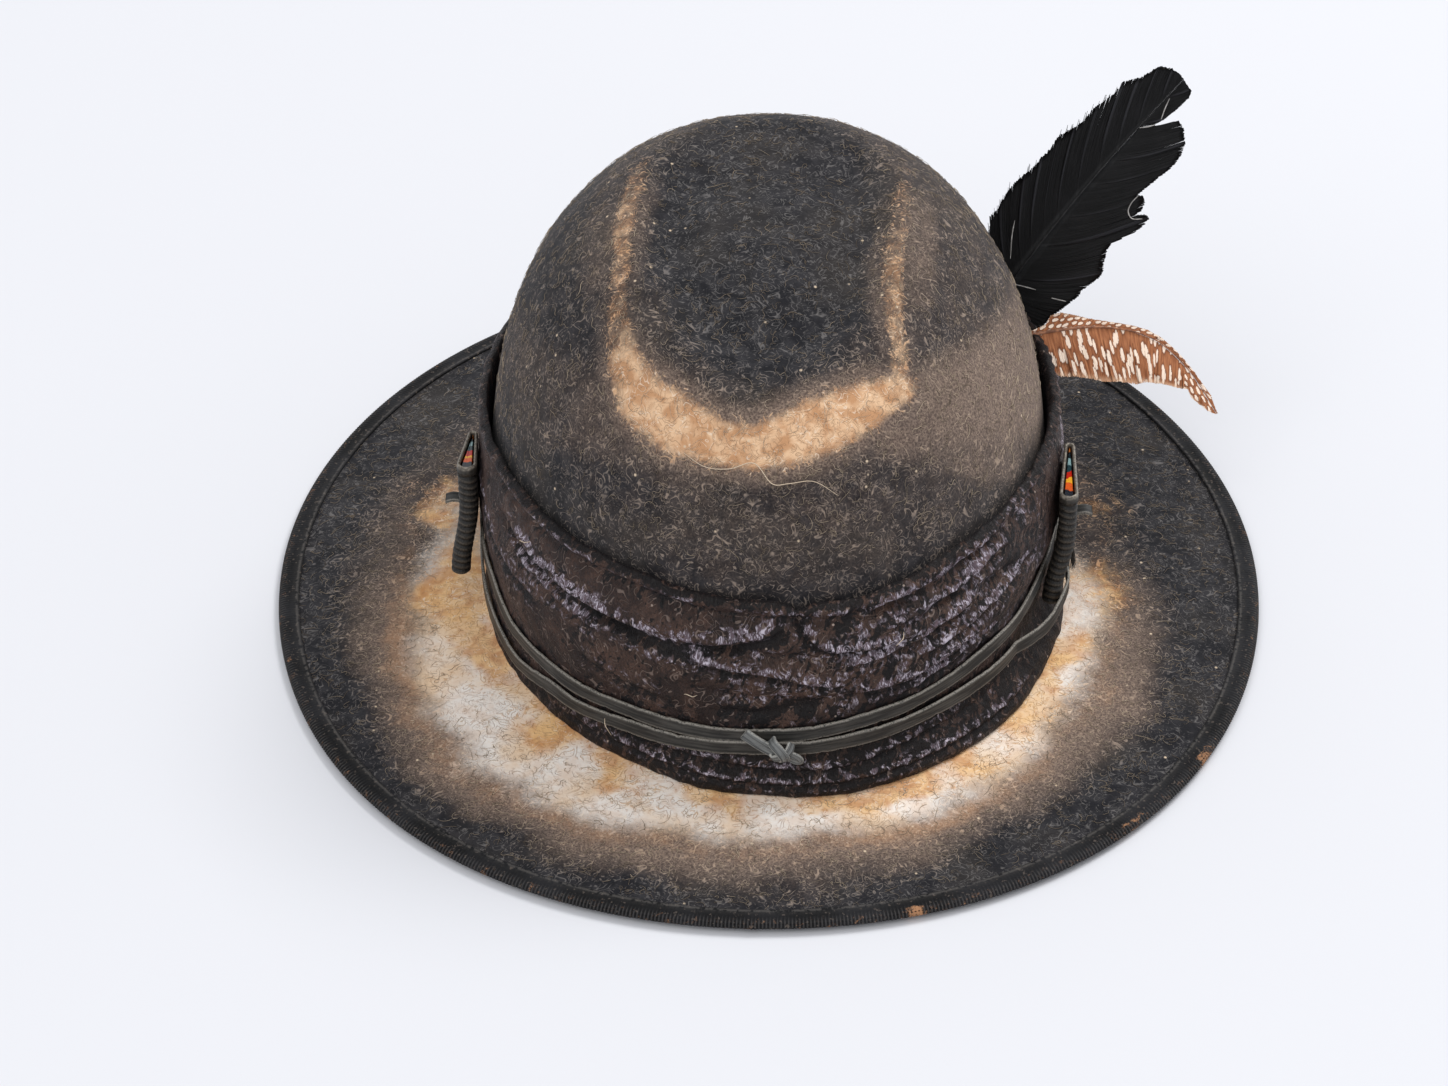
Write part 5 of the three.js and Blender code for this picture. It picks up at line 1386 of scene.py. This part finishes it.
def vane_barbs(kind, side, draw):
    """The barbs of one vane in the feather's plane.

    Each barb leaves the quill at its slope from the quill's own direction and bends forward, so that its
    angle falls to a share of itself as e to the minus way / distance. It is walked in short steps and ends
    where it first leaves the outline. Roots are closer where the slope turns quickly. The strip's half width
    is a share of the distance to the next barb, and more where two locks meet. Each lock starts raised and
    sinks towards the next one, which lies over it. Hairs are thin copies of some barbs that reach past the
    outline. Gives each barb's root along the quill, then the way along it in millimetres and as a share, its
    places along and across, its depth, its half width and how much painted highlight it shows along the
    raised start of its lock.
    """
    fine = np.linspace(0.2, kind["length"] - 0.25, 800)
    slope = np.radians(np.interp(fine, *np.array(kind["slopes"][side], float).T))
    crowd = np.cumsum(np.sin(slope) + 14 * np.abs(np.gradient(slope, fine)))
    start = np.interp(np.linspace(crowd[0], crowd[-1], kind["barbs"]), crowd, fine)
    slope = np.interp(start, fine, slope) + 0.012 * np.sin(start * 2.3 + side)
    slope = slope + draw.normal(0, 0.003, len(start))
    quill_turn = np.arctan(np.interp(start, fine, np.gradient(quill_across(kind, fine), fine)))
    keep, fade = kind["bend"]
    way = np.arange(WALK_STEPS)[None] * WALK_STEP
    angle = quill_turn[:, None] + side * slope[:, None] * (keep + (1 - keep) * np.exp(-way / fade))
    along = start[:, None] + np.cumsum(np.cos(angle) * WALK_STEP, 1)
    across = quill_across(kind, start)[:, None] + np.cumsum(np.sin(angle) * WALK_STEP, 1)
    outside = ~inside_outline(along, across, kind["outline"])
    outside[:, :2] = False
    outside[:, -1] = True
    length = (np.argmax(outside, 1) - 1.0) * (1 - 0.02 * draw.random(len(start)) ** 4)
    hairs = draw.choice(int(0.7 * len(start)), kind["hairs"][side], replace=False)
    picked = np.concatenate([np.arange(len(start)), hairs])
    is_hair = np.arange(len(picked)) >= len(start)
    length = length[picked] + is_hair * draw.uniform(2, 11, len(picked))
    t = np.linspace(0, 1, BARB_STEPS)[None]
    at = np.clip(length[:, None] * t, 0, WALK_STEPS - 1.001)
    k, share = at.astype(int), at % 1
    row = picked[:, None]
    along, across = [grid[row, k] * (1 - share) + grid[row, k + 1] * share for grid in (along, across)]
    own_along, own_across = along[: len(start)], across[: len(start)]
    run, rise = np.gradient(own_along, axis=1), np.gradient(own_across, axis=1)
    gap = np.abs(np.gradient(own_along, axis=0) * rise - np.gradient(own_across, axis=0) * run)
    gap = gap / np.maximum(np.hypot(run, rise), 1e-6)
    ends = np.array([0, *kind["locks"][side], kind["length"]], float)
    lock = np.clip(np.searchsorted(ends, start, side="right") - 1, 0, len(ends) - 2)
    into = (start - ends[lock]) / (ends[lock + 1] - ends[lock])
    overlap = 1 + 1.4 * bell((into - np.round(into)) * (ends[lock + 1] - ends[lock]), 0.5)
    wide = (STRIP_SHARE * overlap[:, None] * gap)[picked] + 0.03
    wide = np.where(is_hair[:, None], HAIR_HALF_WIDTH, wide)
    wide = wide * (1 - 0.3 * ease(0.96, 1, t))
    lift = kind["step"] * (0.25 + 0.75 * (1 - into) ** 1.3) + 0.04 * draw.normal(size=len(start))
    depth = lift[picked][:, None] * ease(0.05, 0.75, t) + 0.1 - 0.25 * is_hair[:, None]
    # painted highlight: where a lock starts, raised over the one before
    lock_highlight = (bell(into - 0.01, 0.05) * (lock > 0))[picked][:, None] * ease(0.12, 0.5, t)
    return start[picked], at * WALK_STEP, t, along, across, depth, wide, lock_highlight


def build_feather(name, kind, node, vane_material, horn):
    """One feather: both vanes' barbs in one piece, and the quill as a tapered rod in another."""
    draw = np.random.default_rng(kind["seed"])
    front = feather_frame(kind)[2]
    points, walls, ends, values = [], [], [], {}
    count = 0
    for side, uv_shift in ((1, 0.0), (-1, 4.0)):
        start, far, t, along, across, depth, wide, lock_highlight = vane_barbs(kind, side, draw)
        paths = feather_point(kind, along, across, depth)
        strips, faces = bundle(paths, front, wide, BARB_THICKNESS * (1 - 0.5 * t), DIAMOND)
        walls.append(faces[0] + count)
        ends.append(faces[1] + count)
        count += strips[..., 0].size
        points.append(strips.reshape(-1, 3))
        vane = {"rooted": start[:, None] / 10, "reached": far / 10 + uv_shift, "narrow": float(side > 0),
                "tipward": along / kind["length"], "barb_end": t, "lock_highlight": lock_highlight}
        for label, value in vane.items():
            value = np.broadcast_to(value, along.shape)[..., None]
            values.setdefault(label, []).append(np.broadcast_to(value, strips.shape[:3]).ravel())
    values = {label: np.concatenate(both) for label, both in values.items()}
    uv = np.stack([values.pop("rooted"), values.pop("reached")], -1)
    make_piece(name + "_barbs", np.concatenate(points), [np.concatenate(walls), np.concatenate(ends)],
               vane_material, [node], uv, values)
    along = np.linspace(-3, kind["length"], 70)[None]
    path = feather_point(kind, along, quill_across(kind, along), 0.3 + 0 * along)
    radius = kind["radius"] * (1 - 0.86 * np.clip(along / kind["length"], 0, 1) ** 0.8)
    rod, faces = bundle(path, front, radius, radius * 0.8, ROUND)
    make_piece(name + "_quill", rod, faces, horn)


build_feather("black_feather", FEATHERS["black"], "feather_black", black_barbs, black_horn)
build_feather("spotted_feather", FEATHERS["spotted"], "feather_spotted", spotted_barbs,
              brown_horn)

SLIVERS = [
    # along the feather's axis and across it: pale barb shafts that show on the black feather
    [(22.4, 12.6), (18.1, 10.0), (12.3, 5.6)], [(7.0, -1.0), (8.8, -4.3), (10.1, -6.9)],
    [(11.3, -12.3), (12.2, -14.1), (13.4, -16.4)], [(72.4, 3.3), (74.5, 1.6), (76.4, 0.4)],
    [(79.0, 0.2), (82.2, 1.5), (85.7, 2.6)],
    [(55.8, -10.6), (52.4, -10.5), (49.4, -11.5), (48.3, -14.0), (50.3, -16.4)],
]
# how far the shafts lie in front of the feather's middle, and a way that no thin rod runs along
SLIVER_DEPTH, ROD_FACE = 2.0, (0.31, -0.77, 0.55)


def thin_rods(lines, radius, steps=16):
    """Fine round rods through lines of points, tapered to both ends by the root of a sine."""
    paths = np.stack([smooth_line(line, steps) for line in lines])
    t = np.linspace(0, 1, steps)[None]
    wide = radius * np.sqrt(np.clip(np.sin(np.pi * (0.06 + 0.88 * t)), 0, 1))
    return bundle(paths, ROD_FACE, wide, wide, ROUND)


sliver_lines = [feather_point(FEATHERS["black"], *np.array(line).T, SLIVER_DEPTH) for line in SLIVERS]
sliver_points, sliver_faces = thin_rods(sliver_lines, 0.19)
make_piece("pale_barb_shafts", sliver_points, sliver_faces, pale_shaft)

LONG_FIBRE = [(-24, -87, 111), (-18, -91, 109), (-11, -92, 109), (-4, -92, 111), (1, -95, 106), (6, -95, 106),
              (13, -94, 106), (20, -94, 101)]
SHORT_HAIRS = [
    # degrees round, height, lean and length of hairs on the velvet
    (-143, 66, 0.6, 6.5), (-121, 19.5, 1.9, 7), (-66, 58, 1, 5), (-104, 42, 0.2, 4), (30, 60, 0.4, 5),
    (140, 50, 2, 5),
]


def build_hairs():
    """Loose hairs: one long wavy fibre on the crown's front, and a few short arched ones on the velvet."""
    outward = unit((np.array(LONG_FIBRE, float) - (0, CROWN_MIDDLE_Y, 40)) / (1, 1, 1.4))
    lines = [LONG_FIBRE + 0.5 * outward]
    t = np.linspace(0, 1, 5)
    for degrees, z, lean, length in SHORT_HAIRS:
        angle = np.radians(degrees + np.cos(lean) * length * (t - 0.5) / MM_PER_DEGREE)
        height = z + np.sin(lean) * length * (t - 0.5) + 0.6 * np.sin(5 * t)
        off = velvet_proud(angle, height) + 1.3 + 1.4 * np.sin(np.pi * t)
        lines.append(crown_point(angle, height, off))
    points, faces = thin_rods(lines, 0.13, 40)
    shade = np.full(points.shape[:3], 0.85)
    make_piece("loose_hairs", points, faces, wool_fibre, fields={"shade": shade})


build_hairs()

FLOOR_HALF = 6.0
floor_mesh = bpy.data.meshes.new("studio_floor")
floor_corners = [(x * FLOOR_HALF, y * FLOOR_HALF, 0) for x, y in ((-1, -1), (1, -1), (1, 1), (-1, 1))]
floor_mesh.from_pydata(floor_corners, [], [(0, 1, 2, 3)])
floor_mesh.materials.append(pale_floor)
floor = place_object("studio_floor", floor_mesh)

# the photo's own view: its height above the brim, distance, focal length, width, and the turn off its target
ELEVATION = np.radians(35.65)
CAMERA_DISTANCE, FOCAL_PIXELS, PHOTO_WIDTH, SENSOR = 1300.0, 4192.0, 1448.0, 36.0
TARGET, PIXELS_RIGHT, PIXELS_UP = (0, -5.0, 50.0), 44.2, 84.0
looking = np.array([0, np.cos(ELEVATION), -np.sin(ELEVATION)])
upward = np.array([0, np.sin(ELEVATION), np.cos(ELEVATION)])
rightward = np.array([1.0, 0, 0])
eye = np.array(TARGET) - looking * CAMERA_DISTANCE
aim = unit(looking - rightward * PIXELS_RIGHT / FOCAL_PIXELS - upward * PIXELS_UP / FOCAL_PIXELS)
camera_right = unit(rightward - (rightward @ aim) * aim)
camera_up = np.cross(camera_right, aim)
camera_data = bpy.data.cameras.new("camera")
camera_data.sensor_width = SENSOR
camera_data.lens = FOCAL_PIXELS / PHOTO_WIDTH * SENSOR
camera_data.clip_end = 50
camera = place_object("camera", camera_data)
turned = Matrix((camera_right, camera_up, -aim)).transposed().to_4x4()
camera.matrix_world = Matrix.Translation(Vector(eye * MM)) @ turned
bpy.context.scene.camera = camera

world = bpy.data.worlds.new("soft_studio")
bpy.context.scene.world = world
world.use_nodes = True
sky = world.node_tree.nodes["Background"]
sky.inputs[0].default_value = (0.955, 0.965, 1.0, 1.0)
sky.inputs[1].default_value = 0.6
bpy.context.scene.view_settings.view_transform = "Standard"


def soft_box(name, place, size, power):
    """A square soft light that faces the hat's middle, with its place in metres and power in watts."""
    light = bpy.data.lights.new(name, "AREA")
    light.shape = "SQUARE"
    light.size = size
    light.energy = power
    lamp = place_object(name, light)
    lamp.location = place
    lamp.rotation_euler = (Vector((0, 0, 0.05)) - Vector(place)).to_track_quat("-Z", "Y").to_euler()


soft_box("key_box", (2.1, 1.5, 3.5), 1.8, 96)
soft_box("fill_box", (-1.2, -2.6, 3.4), 3.0, 56)
